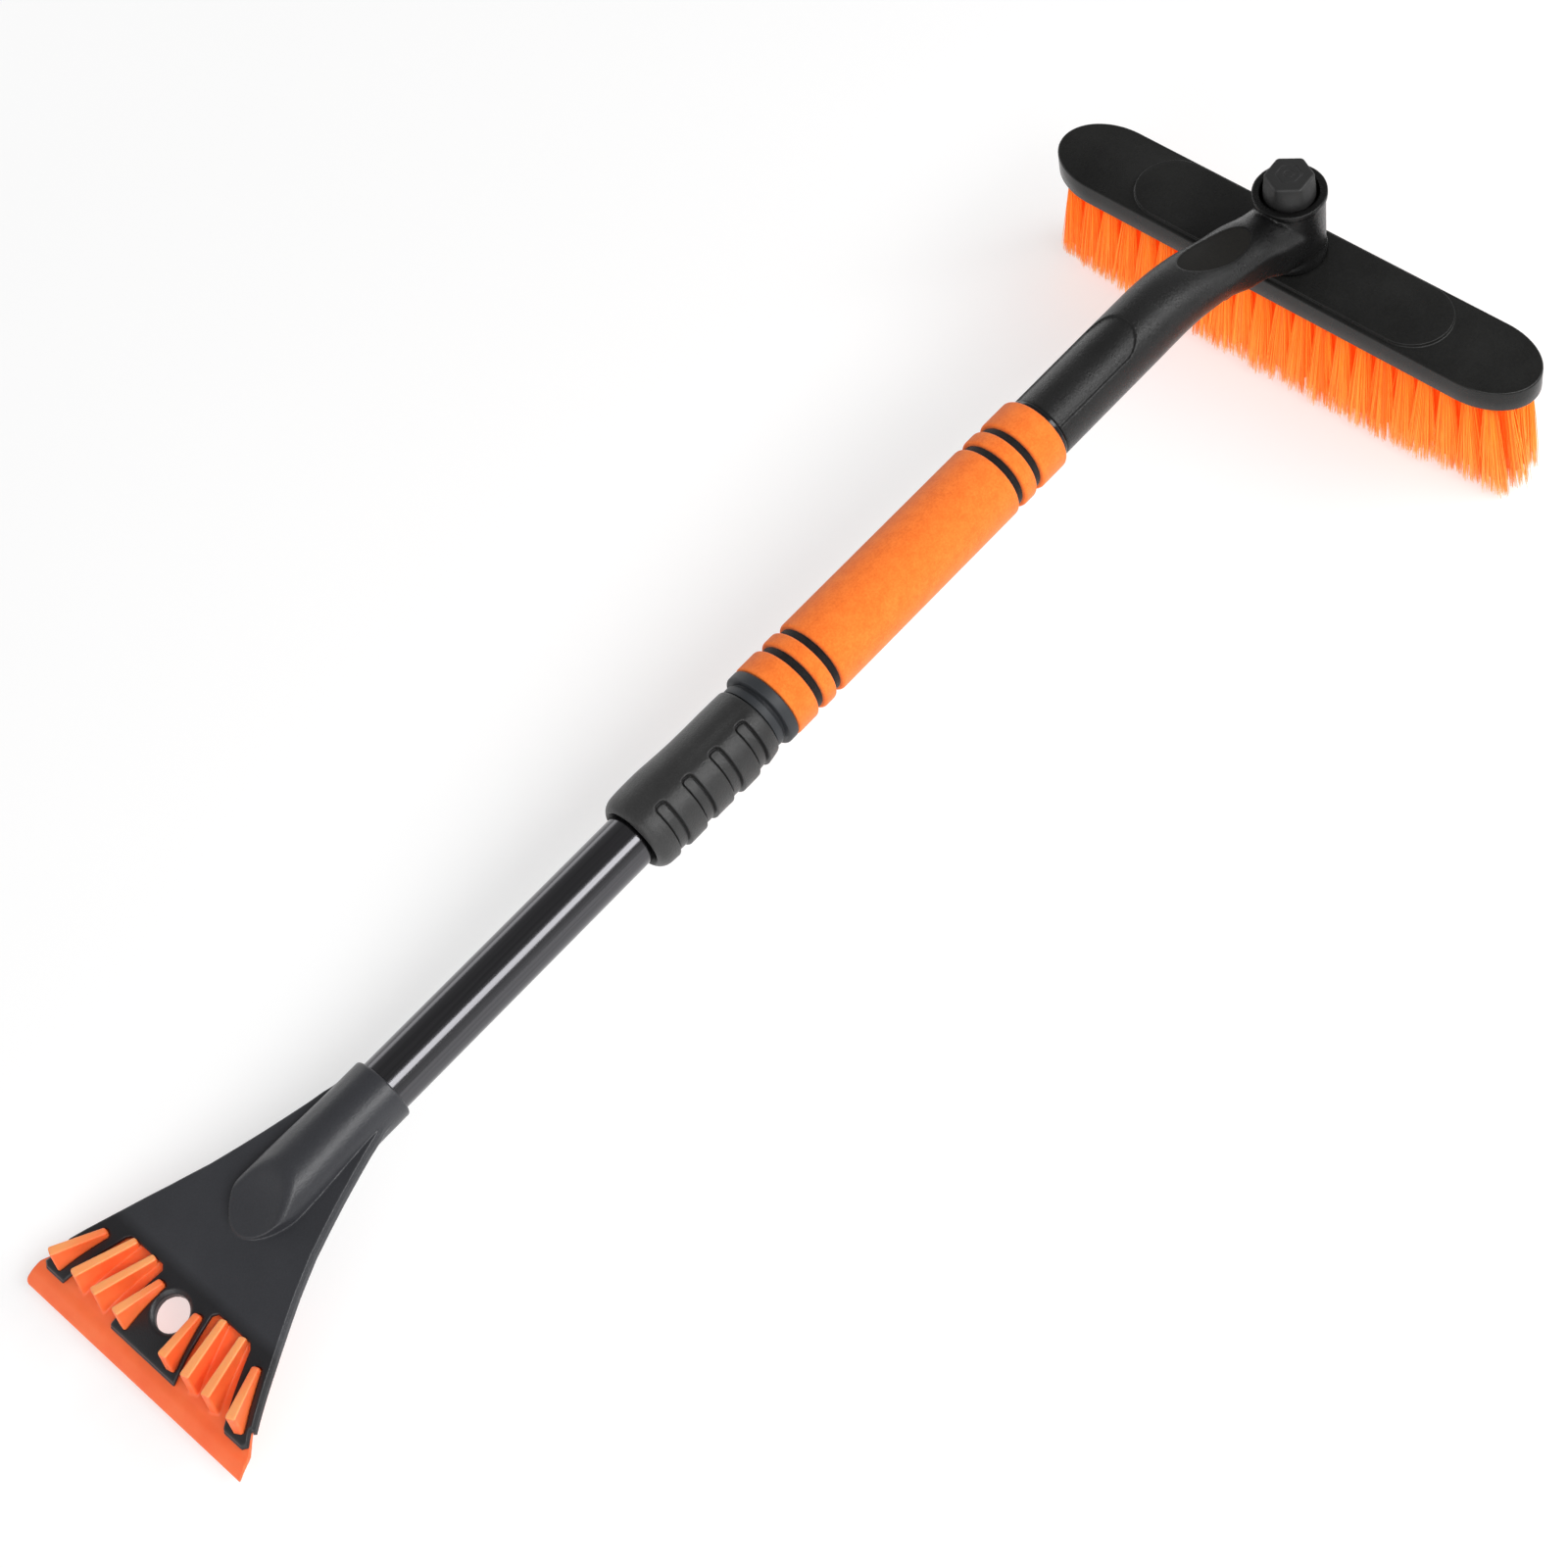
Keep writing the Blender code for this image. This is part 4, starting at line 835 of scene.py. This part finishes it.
def collar_field(x, y, z):
    """The twist collar: slots with rounded ends and a moat each, on the side that faces -Y."""
    r = np.hypot(y, z)
    away = np.arccos(np.clip(-y / np.maximum(r, 1e-6), -1.0, 1.0))  # angle from -Y
    share = ramp(-np.degrees(away), -(SLOT_END_ANGLE + 20.0), -(SLOT_END_ANGLE - 6.0))
    crest = smooth_side(x) + (ribbed_side(x) - smooth_side(x)) * share
    d = r - crest
    d = smooth_max(d, COLLAR_X[0] - x, 6.5)
    d = smooth_max(d, x - COLLAR_X[1], 1.2)
    arc = (away - math.radians(SLOT_END_ANGLE)) * COLLAR_R + SLOT_CORNER
    below = crest - r
    for s in COLLAR_SLOTS:
        sides = np.abs(x - s) - (SLOT_HALF - SLOT_CORNER)
        outline = np.hypot(np.maximum(sides, 0.0), np.maximum(arc, 0.0)) - SLOT_CORNER
        outline = outline + np.minimum(np.maximum(sides, arc), 0.0) + 0.12 * below
        floor = SLOT_DEPTH - 1.1 * ramp(-outline, 0.4, 1.1)
        d = smooth_max(d, -smooth_max(outline, below - floor, 0.2), 0.3)
    bore = np.where(x > COLLAR_LIP_END, COLLAR_BORE_R, COLLAR_LIP_R)
    bore = np.maximum(bore, COLLAR_LIP_R + 2.0 - 0.75 * (x - COLLAR_X[0]))
    return smooth_max(d, bore - r, 0.5)


def build_collar():
    low = (COLLAR_X[0] - 1.5, -20.5, -20.5)
    high = (COLLAR_X[1] + 1.5, 20.5, 20.5)
    collar = solid("twist_collar", collar_field, low, high, 0.48)
    place(collar, "collar", "grip_rubber", MATS["grip"], "lock_collar")


def build_ferrule():
    """The neck between collar and foam, with a flange against the foam."""
    nose, neck, flange, end = FERRULE_X
    corners = [
        (nose, HANDLE_BORE_R), (end, HANDLE_BORE_R), (end, 18.9), (flange, 18.9), (flange, 15.2),
        (flange - 1.8, 15.2), (flange - 1.8, 16.6), (neck + 0.2, 16.4), (neck, 15.3), (nose, 15.3),
    ]
    radii = [0.1, 0.3, 0.6, 0.9, 0.2, 0.2, 0.5, 0.4, 0.1, 0.4]
    neck_ring = lathe("lock_neck", round_corners(corners, radii, 4))
    place(neck_ring, "handle", "scraper_plastic", MATS["ferrule"], "lock_ferrule")


def build_foam():
    """The grip: orange foam pieces with black foam rings in the grooves between them."""
    for name, x0, x1, groove in FOAM:
        finish, r, edge = ("foam_black", GROOVE_R, 0.3) if groove else ("foam_orange", FOAM_R, 1.5)
        x0, x1 = x0 + 0.1, x1 - 0.1
        corners = [(x0, HANDLE_BORE_R), (x1, HANDLE_BORE_R), (x1, r), (x0, r)]
        ring = lathe(name.replace("foam", "grip"), round_corners(corners, [0.1, 0.1, edge, edge], 6), 200)
        place(ring, "handle", finish, MATS[finish], name)


# ================================================================= coupling
INSERT_PROFILE = [
    (384.0, INSERT_BORE_R), (476.0, INSERT_BORE_R), (476.0, 11.6), (474.6, 12.8), (420.0, INSERT_R),
    (417.7, INSERT_R), (417.7, 16.7), (415.0, 16.7), (415.0, 12.6), (384.0, 12.6),
]


def insert_field(x, y, z):
    """The sleeve that the arm slides on: a flange, a slot for the latch and four long grooves."""
    r = np.hypot(y, z)
    d = polygon_distance(INSERT_PROFILE, x, r)
    rim = smooth_max(np.abs(x - 416.35) - 1.35, r - 16.7, 0.9)
    d = np.maximum(d, smooth_min(rim, r - INSERT_R, 0.4))
    slot = smooth_max(np.abs(y) - LATCH_HALF - 0.4, np.abs(x - 446.0) - 21.7, 1.0)
    d = smooth_max(d, -np.maximum(slot, z + 6.0), 0.4)
    groove = smooth_max(np.abs(np.abs(y) - 7.2) - 0.7, 425.0 - x, 0.6)
    return smooth_max(d, -np.maximum(groove, 12.1 - r), 0.4)


def latch_field(x, y, z):
    """The latch: a springy tongue with a button whose faces slope, and room for the spring behind."""
    tongue = np.maximum(np.abs(z + 10.3) - 1.1, np.abs(x - 445.8) - 21.2)
    ramp_top = (-17.2 + 1.3 * ramp(x, 458.0, 467.0) + 5.0 * (1.0 - ramp(x, 451.0, 458.5))) - z
    button = np.maximum(np.abs(x - LATCH_X) - 6.0, np.maximum(ramp_top, z + 9.2))
    d = smooth_min(tongue, button, 0.6)
    spring_room = np.maximum(457.2 - x, -14.2 - z)
    d = smooth_max(d, -spring_room, 0.3)
    return smooth_max(d, np.abs(y) - LATCH_HALF, 0.7)


def build_coupling():
    insert = solid("arm_insert", insert_field, (382.5, -18.0, -18.0), (477.5, 18.0, 18.0), 0.5)
    place(insert, "handle", "coupling_plastic", MATS["gloss"], "coupling_insert")
    latch = solid("release_latch", latch_field, (422.0, -5.0, -19.0), (469.0, 5.0, -8.0), 0.35)
    place(latch, "latch", "coupling_plastic", MATS["gloss"], "latch_button")


# ================================================================= arm
arm_top = curve([(x, top) for x, top, _ in ARM_SIDE])
arm_low = curve([(x, low) for x, _, low in ARM_SIDE])
# half width of the bar, limit of its upright walls, and how square its underside is
arm_half = curve((
    (410.0, 16.4), (480.0, 16.4), (530.0, 16.6), (560.0, 16.9), (580.0, 16.4), (602.0, 15.6),
))
arm_wall = curve(((410.0, 18.0), (525.0, 18.0), (550.0, 16.0), (565.0, 15.7), (602.0, 15.7)))
arm_low_power = curve((
    (410.0, 2.0), (486.0, 2.0), (515.0, 2.1), (540.0, 2.5), (562.0, 3.0), (602.0, 3.4),
))
ridge_low = curve(FINGER_RIDGE)


def arm_tube_field(x, y, z):
    """The arm as a bent bar: a round crown over walls that stand upright near the hub."""
    top, low = arm_top(x), arm_low(x)
    half_y = arm_half(x)
    half_z = (top - low) / 2
    rise = z - (top + low) / 2
    power = np.where(rise > 0, 2.0, arm_low_power(x))
    a = np.abs(y) / half_y
    b = np.abs(rise) / half_z
    reach = (a**power + b**power + 1e-9) ** (1.0 / power)
    bar = (reach - 1.0) * np.minimum(half_y, half_z)
    return smooth_max(bar, np.abs(y) - arm_wall(x), 0.6)


def arm_field(x, y, z):
    """The whole arm: bar, thumb pad, finger ridge, hub with its well, bore and latch window."""
    r = np.hypot(y, z)
    d = arm_tube_field(x, y, z)
    # recessed label panel with an arched end
    arc = (np.arctan2(z, y) - math.pi / 2) * ARM_R
    arc = np.where(z > -3.0, arc, 60.0)
    panel = np.hypot(np.maximum(x - (PANEL_END_X - PANEL_HALF_ARC), 0.0), arc) - PANEL_HALF_ARC
    d = smooth_max(d, -np.maximum(panel, 15.75 - r), 0.45)
    d = smooth_max(d, ARM_END_X - x, 1.2)
    d = np.maximum(d, x - 606.0)
    # thumb pad: a dished oval sunk a little into the crest
    off_centre = np.hypot((x - PAD_CENTRE_X) / PAD_HALF[0], y / PAD_HALF[1])
    pad_depth = 0.35 + 1.3 * (1.0 - np.minimum(off_centre, 1.0) ** 2)
    pad = np.maximum((off_centre - 1.0) * PAD_HALF[1], -d - pad_depth)
    d = smooth_max(d, -np.maximum(pad, arm_low(x) + 6.0 - z), 0.3)
    # finger ridge along the underside
    ridge = smooth_max(np.abs(y) - 5.6, (ridge_low(x) - z) * 0.8, 5.0)
    ridge = np.maximum(ridge, np.maximum(488.0 - x, x - 596.0))
    ridge = np.maximum(ridge, z - (arm_low(x) + 6.0))
    d = smooth_min(d, ridge, 3.0)
    # hub: a cylinder with a lip at the top and a flared foot, flat on top beside the arm
    from_axis = np.hypot(x - PIVOT[0], y)
    hub_r = HUB_R - 0.9 * ramp(-z, 11.0, 11.6) + 0.9 * ramp(-z, 41.0, 46.0)
    hub = smooth_max(from_axis - hub_r, z - HUB_TOP_Z, 0.7)
    hub = smooth_max(hub, HUB_BASE_Z - z, 0.8)
    d = smooth_min(d, hub, 1.0)
    d = smooth_max(d, z - HUB_TOP_Z - np.where(x < PIVOT[0] - 12.0, 60.0, 0.0), 0.5)
    well = smooth_max(from_axis - WELL_R, -43.0 - z, 0.5)
    d = smooth_max(d, -well, 0.7)
    d = np.maximum(d, -(np.maximum(from_axis - 8.0, z + 30.0)))
    # bore for the insert, and the latch's window underneath
    bore = np.maximum(r - ARM_BORE_R, x - ARM_BORE_END)
    d = smooth_max(d, -bore, 0.5)
    window = smooth_max(np.abs(y) - LATCH_HALF - 0.35, np.abs(x - LATCH_X) - 6.5, 0.8)
    return smooth_max(d, -np.maximum(window, z + 10.0), 0.5)


def build_arm():
    arm = solid("brush_neck", arm_field, (416.5, -20.0, -50.0), (622.0, 20.0, 18.0), 0.7)
    place(arm, "brush_arm", "arm_plastic", MATS["satin"], "pivot_arm")


def button_field(x, y, z):
    """Push button: a chamfered hexagon whose walls turn into a round skirt further down."""
    x = x - PIVOT[0]
    flats = 0.0
    for angle in (35.0, 95.0, 155.0):
        t = math.radians(angle)
        flats = smooth_max(flats, np.abs(x * math.cos(t) + y * math.sin(t)), 1.2)
    r = np.hypot(x, y)
    roundness = ramp(-z, -2.0, 8.0)
    d = (flats - BUTTON_FLAT) * (1.0 - roundness) + (r - BUTTON_SKIRT_R) * roundness
    above = z - BUTTON_TOP_Z
    d = smooth_max(d, (d + 0.8 + above) * 0.72, 0.4)
    d = smooth_max(d, above, 0.5)
    d = smooth_max(d, -33.4 - z, 0.5)
    spring_room = np.maximum(np.abs(r - 7.5) - 1.2, z + 29.6)
    d = smooth_max(d, -spring_room, 0.3)
    for outline, size in ((r, 2.3), (flats, 5.4)):
        d = smooth_max(d, 0.3 - np.hypot(outline - size, above), 0.25)
    return d


def build_button():
    x = PIVOT[0]
    low, high = (x - 14.0, -14.0, -35.0), (x + 14.0, 14.0, 4.5)
    button = solid("head_button", button_field, low, high, 0.34)
    place(button, "button", "button_plastic", MATS["button"], "pivot_button")


# ================================================================= brush head
def stadium(half_x, half_y, end, steps=48):
    """An outline about the pivot: straight along Y, with a half ellipse at each end."""
    points = []
    for sign in (1, -1):
        for k in range(steps + 1):
            t = math.pi * k / steps
            y = sign * (half_y - end + end * math.sin(t))
            points.append((PIVOT[0] + sign * half_x * math.cos(t), y))
    return points


def rounded_edge(radius, z, steps=6):
    """(inset, height) pairs of a quarter round that ends level at height z."""
    pairs = []
    for k in range(steps + 1):
        t = math.pi / 2 * k / steps
        pairs.append((radius * (1 - math.cos(t)), z - radius * (1 - math.sin(t))))
    return pairs


def build_plate():
    """The brush head's plate with its low boss: stadium loops stacked up, closed by two fans."""
    low, top = PLATE_Z
    rows = [(6.0, low), (1.2, low), (0.35, low + 0.3), (0.0, low + 1.1), (0.0, top - 6.0)]
    rows += rounded_edge(1.1, top)
    loops = [(stadium(PLATE_HALF[0] - i, PLATE_HALF[1] - i, PLATE_END - i), z) for i, z in rows]
    boss = [(-0.7, top), (-0.25, top + 0.12), (0.0, top + 0.5), (0.0, BOSS_TOP_Z - 0.7)]
    boss += rounded_edge(0.5, BOSS_TOP_Z, 4)
    boss += [(4.0, BOSS_TOP_Z), (10.0, BOSS_TOP_Z)]
    loops += [(stadium(BOSS_HALF[0] - i, BOSS_HALF[1] - i, BOSS_END - i), z) for i, z in boss]
    count = len(loops[0][0])
    points = [(x, y, z) for outline, z in loops for x, y in outline]
    faces = grid_faces(len(loops), count, False)
    bottom, crown = len(points), len(points) + 1
    points += [(PIVOT[0], 0.0, low), (PIVOT[0], 0.0, BOSS_TOP_Z)]
    last = (len(loops) - 1) * count
    for k in range(count):
        j = (k + 1) % count
        faces.append((bottom, j, k))
        faces.append((crown, last + k, last + j))
    mesh = bpy.data.meshes.new("head_plate")
    mesh.from_pydata([Vector(p) * MM for p in points], [], faces)
    mesh.transform(TOOL)
    plate = outward(linked("head_plate", mesh))
    place(plate, "brush_head", "arm_plastic", MATS["plate"], "brush_plate")


def strand_mesh(paths, radii, sides=3):
    """Thin closed tubes along many paths: paths is (strands, rings, 3), radii is one for each ring."""
    strands, rings = paths.shape[:2]
    angle = np.arange(sides) * 2 * math.pi / sides
    ring = np.stack([np.cos(angle), np.sin(angle), np.zeros(sides)], 1)
    twist = np.linspace(0, 2 * math.pi, strands, endpoint=False) * 7.0
    cos, sin = np.cos(twist)[:, None], np.sin(twist)[:, None]
    turned = np.stack([ring[None, :, 0] * cos - ring[None, :, 1] * sin,
                       ring[None, :, 0] * sin + ring[None, :, 1] * cos,
                       np.zeros((strands, sides))], 2)
    points = paths[:, :, None, :] + turned[:, None, :, :] * np.asarray(radii)[None, :, None, None]
    faces, ends = [], []
    for s in range(strands):
        base = s * rings * sides
        for r in range(rings - 1):
            a, b = base + r * sides, base + (r + 1) * sides
            for c in range(sides):
                d = (c + 1) % sides
                faces.append((a + c, b + c, b + d, a + d))
        tip = base + (rings - 1) * sides
        ends.append((base, base + 1, base + 2))
        ends.append((tip + 2, tip + 1, tip))
    return points.reshape(-1, 3), faces, ends


def tuft(row, k, random):
    """One bundle of bristles: strands that splay from a tight root and gather in clumps at the tips."""
    offset = BRISTLE_ROWS[row]
    first = -TUFT_PITCH * (TUFTS_PER_ROW - 1) / 2
    outer = abs(offset) > 9
    taper = 0.033 if outer else 0.018
    root_y = (first + TUFT_PITCH * k) * (1.0 - taper)
    narrow = np.interp(abs(root_y), *zip(*TIP_NARROWING))
    root = np.array([PIVOT[0] + offset, root_y, PLATE_Z[0] + 0.4])
    at_end = (abs(root_y) / 127.0) ** 8
    end_flare = -2.4 * at_end if root_y < 0 else 1.6 * at_end
    lean = 3.2 * at_end if root_y < 0 < offset else 0.0
    tip_z = BRISTLE_TIP_Z + TIP_SLOPE * root_y - (3.4 * at_end if root_y < 0 else 0.0)
    tip_x = PIVOT[0] + offset * ROW_FLARE * narrow - lean
    tip = np.array([tip_x, root_y * 1.03 + end_flare, tip_z])
    tip[:2] += random.normal(0.0, 0.6, 2)

    count = STRANDS_PER_TUFT[0 if outer else 1]
    angle = random.uniform(0, 2 * math.pi, count)
    radius = np.sqrt(random.uniform(0.04, 1.0, count))
    disc = np.stack([np.cos(angle), np.sin(angle)], 1) * radius[:, None]
    start = root[:2] + disc * (2.3, 2.8)
    spread = tip[:2] + disc * (5.4 * narrow, 8.2) + random.normal(0.0, 0.6, (count, 2))
    clumps = tip[:2] + random.normal(0.0, 1.0, (22, 2)) * (3.1 * narrow, 5.0)
    nearest = np.argmin(np.linalg.norm(spread[:, None] - clumps[None], axis=2), axis=1)
    end = spread + (clumps[nearest] - spread) * random.uniform(0.05, 0.5, (count, 1))
    length = 1.0 + random.normal(0.0, 0.022, count) - 0.02 * radius**3
    share = np.array([0.0, 0.25, 0.52, 0.8, 1.0])
    bow = np.sin(math.pi * share) * 0.7
    wobble = random.normal(0.0, 0.5, (count, 2))
    paths = np.zeros((count, len(share), 3))
    for n, t in enumerate(share):
        paths[:, n, :2] = start + (end - start) * t + wobble * bow[n]
        paths[:, n, 2] = root[2] + (tip[2] - root[2]) * t * np.minimum(length, 1.01)
    points, faces, ends = strand_mesh(paths, (0.22, 0.22, 0.20, 0.17, 0.06))
    clump_tone = random.uniform(0.05, 1.0, len(clumps))[nearest]
    tone = np.repeat(np.clip(clump_tone + random.normal(0.0, 0.15, count), 0.05, 1.0), len(share) * 3)

    # painted shade: a solid middle for the bundle, shorter than the strands, that darkens the inside of
    # the tuft
    rings, sides = 6, 14
    shade_core = []
    for n in range(rings):
        t = n / (rings - 1) * 0.82
        centre = root + (tip - root) * t
        rx = 1.9 + (3.6 * narrow - 1.9) * t
        ry = 2.3 + (5.6 - 2.3) * t
        for s in range(sides):
            a = 2 * math.pi * s / sides
            rough = 1.0 + random.uniform(-0.08, 0.08)
            shade_core.append((centre[0] + rx * rough * math.cos(a), centre[1] + ry * rough * math.sin(a),
                         centre[2] + random.uniform(-1.0, 1.0) * (n == rings - 1)))
    at = len(points)
    shade_core_faces = [tuple(at + i for i in reversed(f)) for f in grid_faces(rings, sides, False)]
    last = at + (rings - 1) * sides
    caps = [tuple(range(at, at + sides)), tuple(reversed(range(last, last + sides)))]
    points = np.concatenate([points, np.array(shade_core)])
    # the middle takes the darkest tone, painted shade inside the bundle
    tone = np.concatenate([tone, np.zeros(len(shade_core))])

    name = f"tuft_{row + 1}_{k + 1:02d}"
    mesh = bpy.data.meshes.new(name)
    mesh.from_pydata((points * MM).tolist(), [], faces + ends + shade_core_faces + caps)
    mesh.attributes.new("tone", "FLOAT", "POINT").data.foreach_set("value", tone.astype(np.float32))
    mesh.transform(TOOL)
    mesh.shade_smooth()
    return linked(name, mesh)


def build_bristles():
    random = np.random.default_rng(12)
    for row in range(len(BRISTLE_ROWS)):
        for k in range(TUFTS_PER_ROW):
            nodes = [f"bristle_row_{row + 1}"] if k == 0 else []
            place(tuft(row, k, random), "brush_head", "bristle_orange", MATS["bristle"], *nodes)


HIDDEN_PARTS = {
    "nylon": ("inner_tube_plug", "lock_collet", "lock_gear"),
    "steel": ("latch_spring", "pivot_spring", "pivot_washer", "pivot_screw"),
}


def finish_hidden_parts():
    """Hidden CAD parts keep their shape and get the right material."""
    for finish, names in HIDDEN_PARTS.items():
        for name in names:
            materials = frame["nodes"][name].data.materials
            materials.clear()
            materials.append(MATS[finish])


# ================================================================= camera, floor, light
CAMERA_AT = (-198.08, -625.82, 1069.54)  # mm, tool frame
CAMERA_RIGHT = (0.66456, -0.73145, -0.15280)
CAMERA_DOWN = (-0.67767, -0.50380, -0.53567)
CAMERA_LENS = 69.85  # mm, on a 36 mm frame
FLOOR_Z = -0.0056  # m, model frame: just under the longest bristles
FLOOR_HALF = 6.0
# the studio's grey by height of the look: bright at the horizon, dim at the ceiling
STUDIO_GREYS = ((0.0, 0.68), (0.2, 0.62), (0.45, 0.38), (0.8, 0.24), (1.0, 0.24))
# (name, place, target, size, power), in m and W
LIGHTS = (
    ("softbox", (0.55, -1.04, 1.15), (0.55, 0.0, 0.07), (2.6, 0.55), 28.0),
    ("front", (-2.0, -0.9, 0.75), (0.3, 0.0, 0.0), (1.4, 1.4), 15.0),
    ("back", (0.2, 1.55, 0.45), (0.0, 0.0, 0.05), (2.2, 0.5), 5.0),
)


def build_camera():
    data = bpy.data.cameras.new("camera")
    data.lens = CAMERA_LENS
    data.sensor_width = 36.0
    data.clip_start = 0.05
    data.clip_end = 50.0
    camera = linked("camera", data)
    right = Vector(CAMERA_RIGHT).normalized()
    up = (-Vector(CAMERA_DOWN)).normalized()
    back = right.cross(up).normalized()
    up = back.cross(right)
    turn = Matrix((right, up, back)).transposed().to_4x4()
    camera.matrix_world = TOOL @ Matrix.Translation(Vector(CAMERA_AT) * MM) @ turn
    bpy.context.scene.camera = camera


def build_floor():
    h = FLOOR_HALF
    floor = mesh_object("floor", [(-h, -h, 0), (h, -h, 0), (h, h, 0), (-h, h, 0)], [(0, 1, 2, 3)],
                        Matrix.Translation((0, 0, FLOOR_Z)), 1.0)
    n = Nodes("floor_white", (0.5, 0.5, 0.5), 0.8, specular=0.1)
    n.colour(n.noise(1.5, 2.0), [(0.3, (0.49, 0.49, 0.49)), (0.7, (0.51, 0.51, 0.51))])
    n.set("Emission Color", (1.0, 1.0, 1.0, 1.0))
    n.set("Emission Strength", 0.56)
    floor.data.materials.append(n.mat)


def build_lights():
    """The studio's soft surroundings, a long softbox and two fills."""
    world = bpy.data.worlds.new("studio")
    world.use_nodes = True
    tree = world.node_tree
    coords = tree.nodes.new("ShaderNodeTexCoord")
    split = tree.nodes.new("ShaderNodeSeparateXYZ")
    greys = tree.nodes.new("ShaderNodeValToRGB")
    set_stops(greys, [(height, (grey, grey, grey)) for height, grey in STUDIO_GREYS])
    tree.links.new(coords.outputs["Generated"], split.inputs["Vector"])
    tree.links.new(split.outputs["Z"], greys.inputs["Fac"])
    tree.links.new(greys.outputs["Color"], tree.nodes["Background"].inputs["Color"])
    bpy.context.scene.world = world
    for name, at, target, size, power in LIGHTS:
        data = bpy.data.lights.new(name, "AREA")
        data.shape = "RECTANGLE"
        data.size, data.size_y = size
        data.energy = power
        light = linked(name, data)
        light.location = at
        light.rotation_euler = (Vector(at) - Vector(target)).to_track_quat("Z", "Y").to_euler()
    bpy.context.scene.view_settings.view_transform = "Standard"


# ================================================================= build
build_scraper()
build_tubes()
build_collar()
build_ferrule()
build_foam()
build_coupling()
build_arm()
build_button()
build_plate()
build_bristles()
finish_hidden_parts()
build_floor()
build_lights()
build_camera()

bpy.context.view_layer.update()
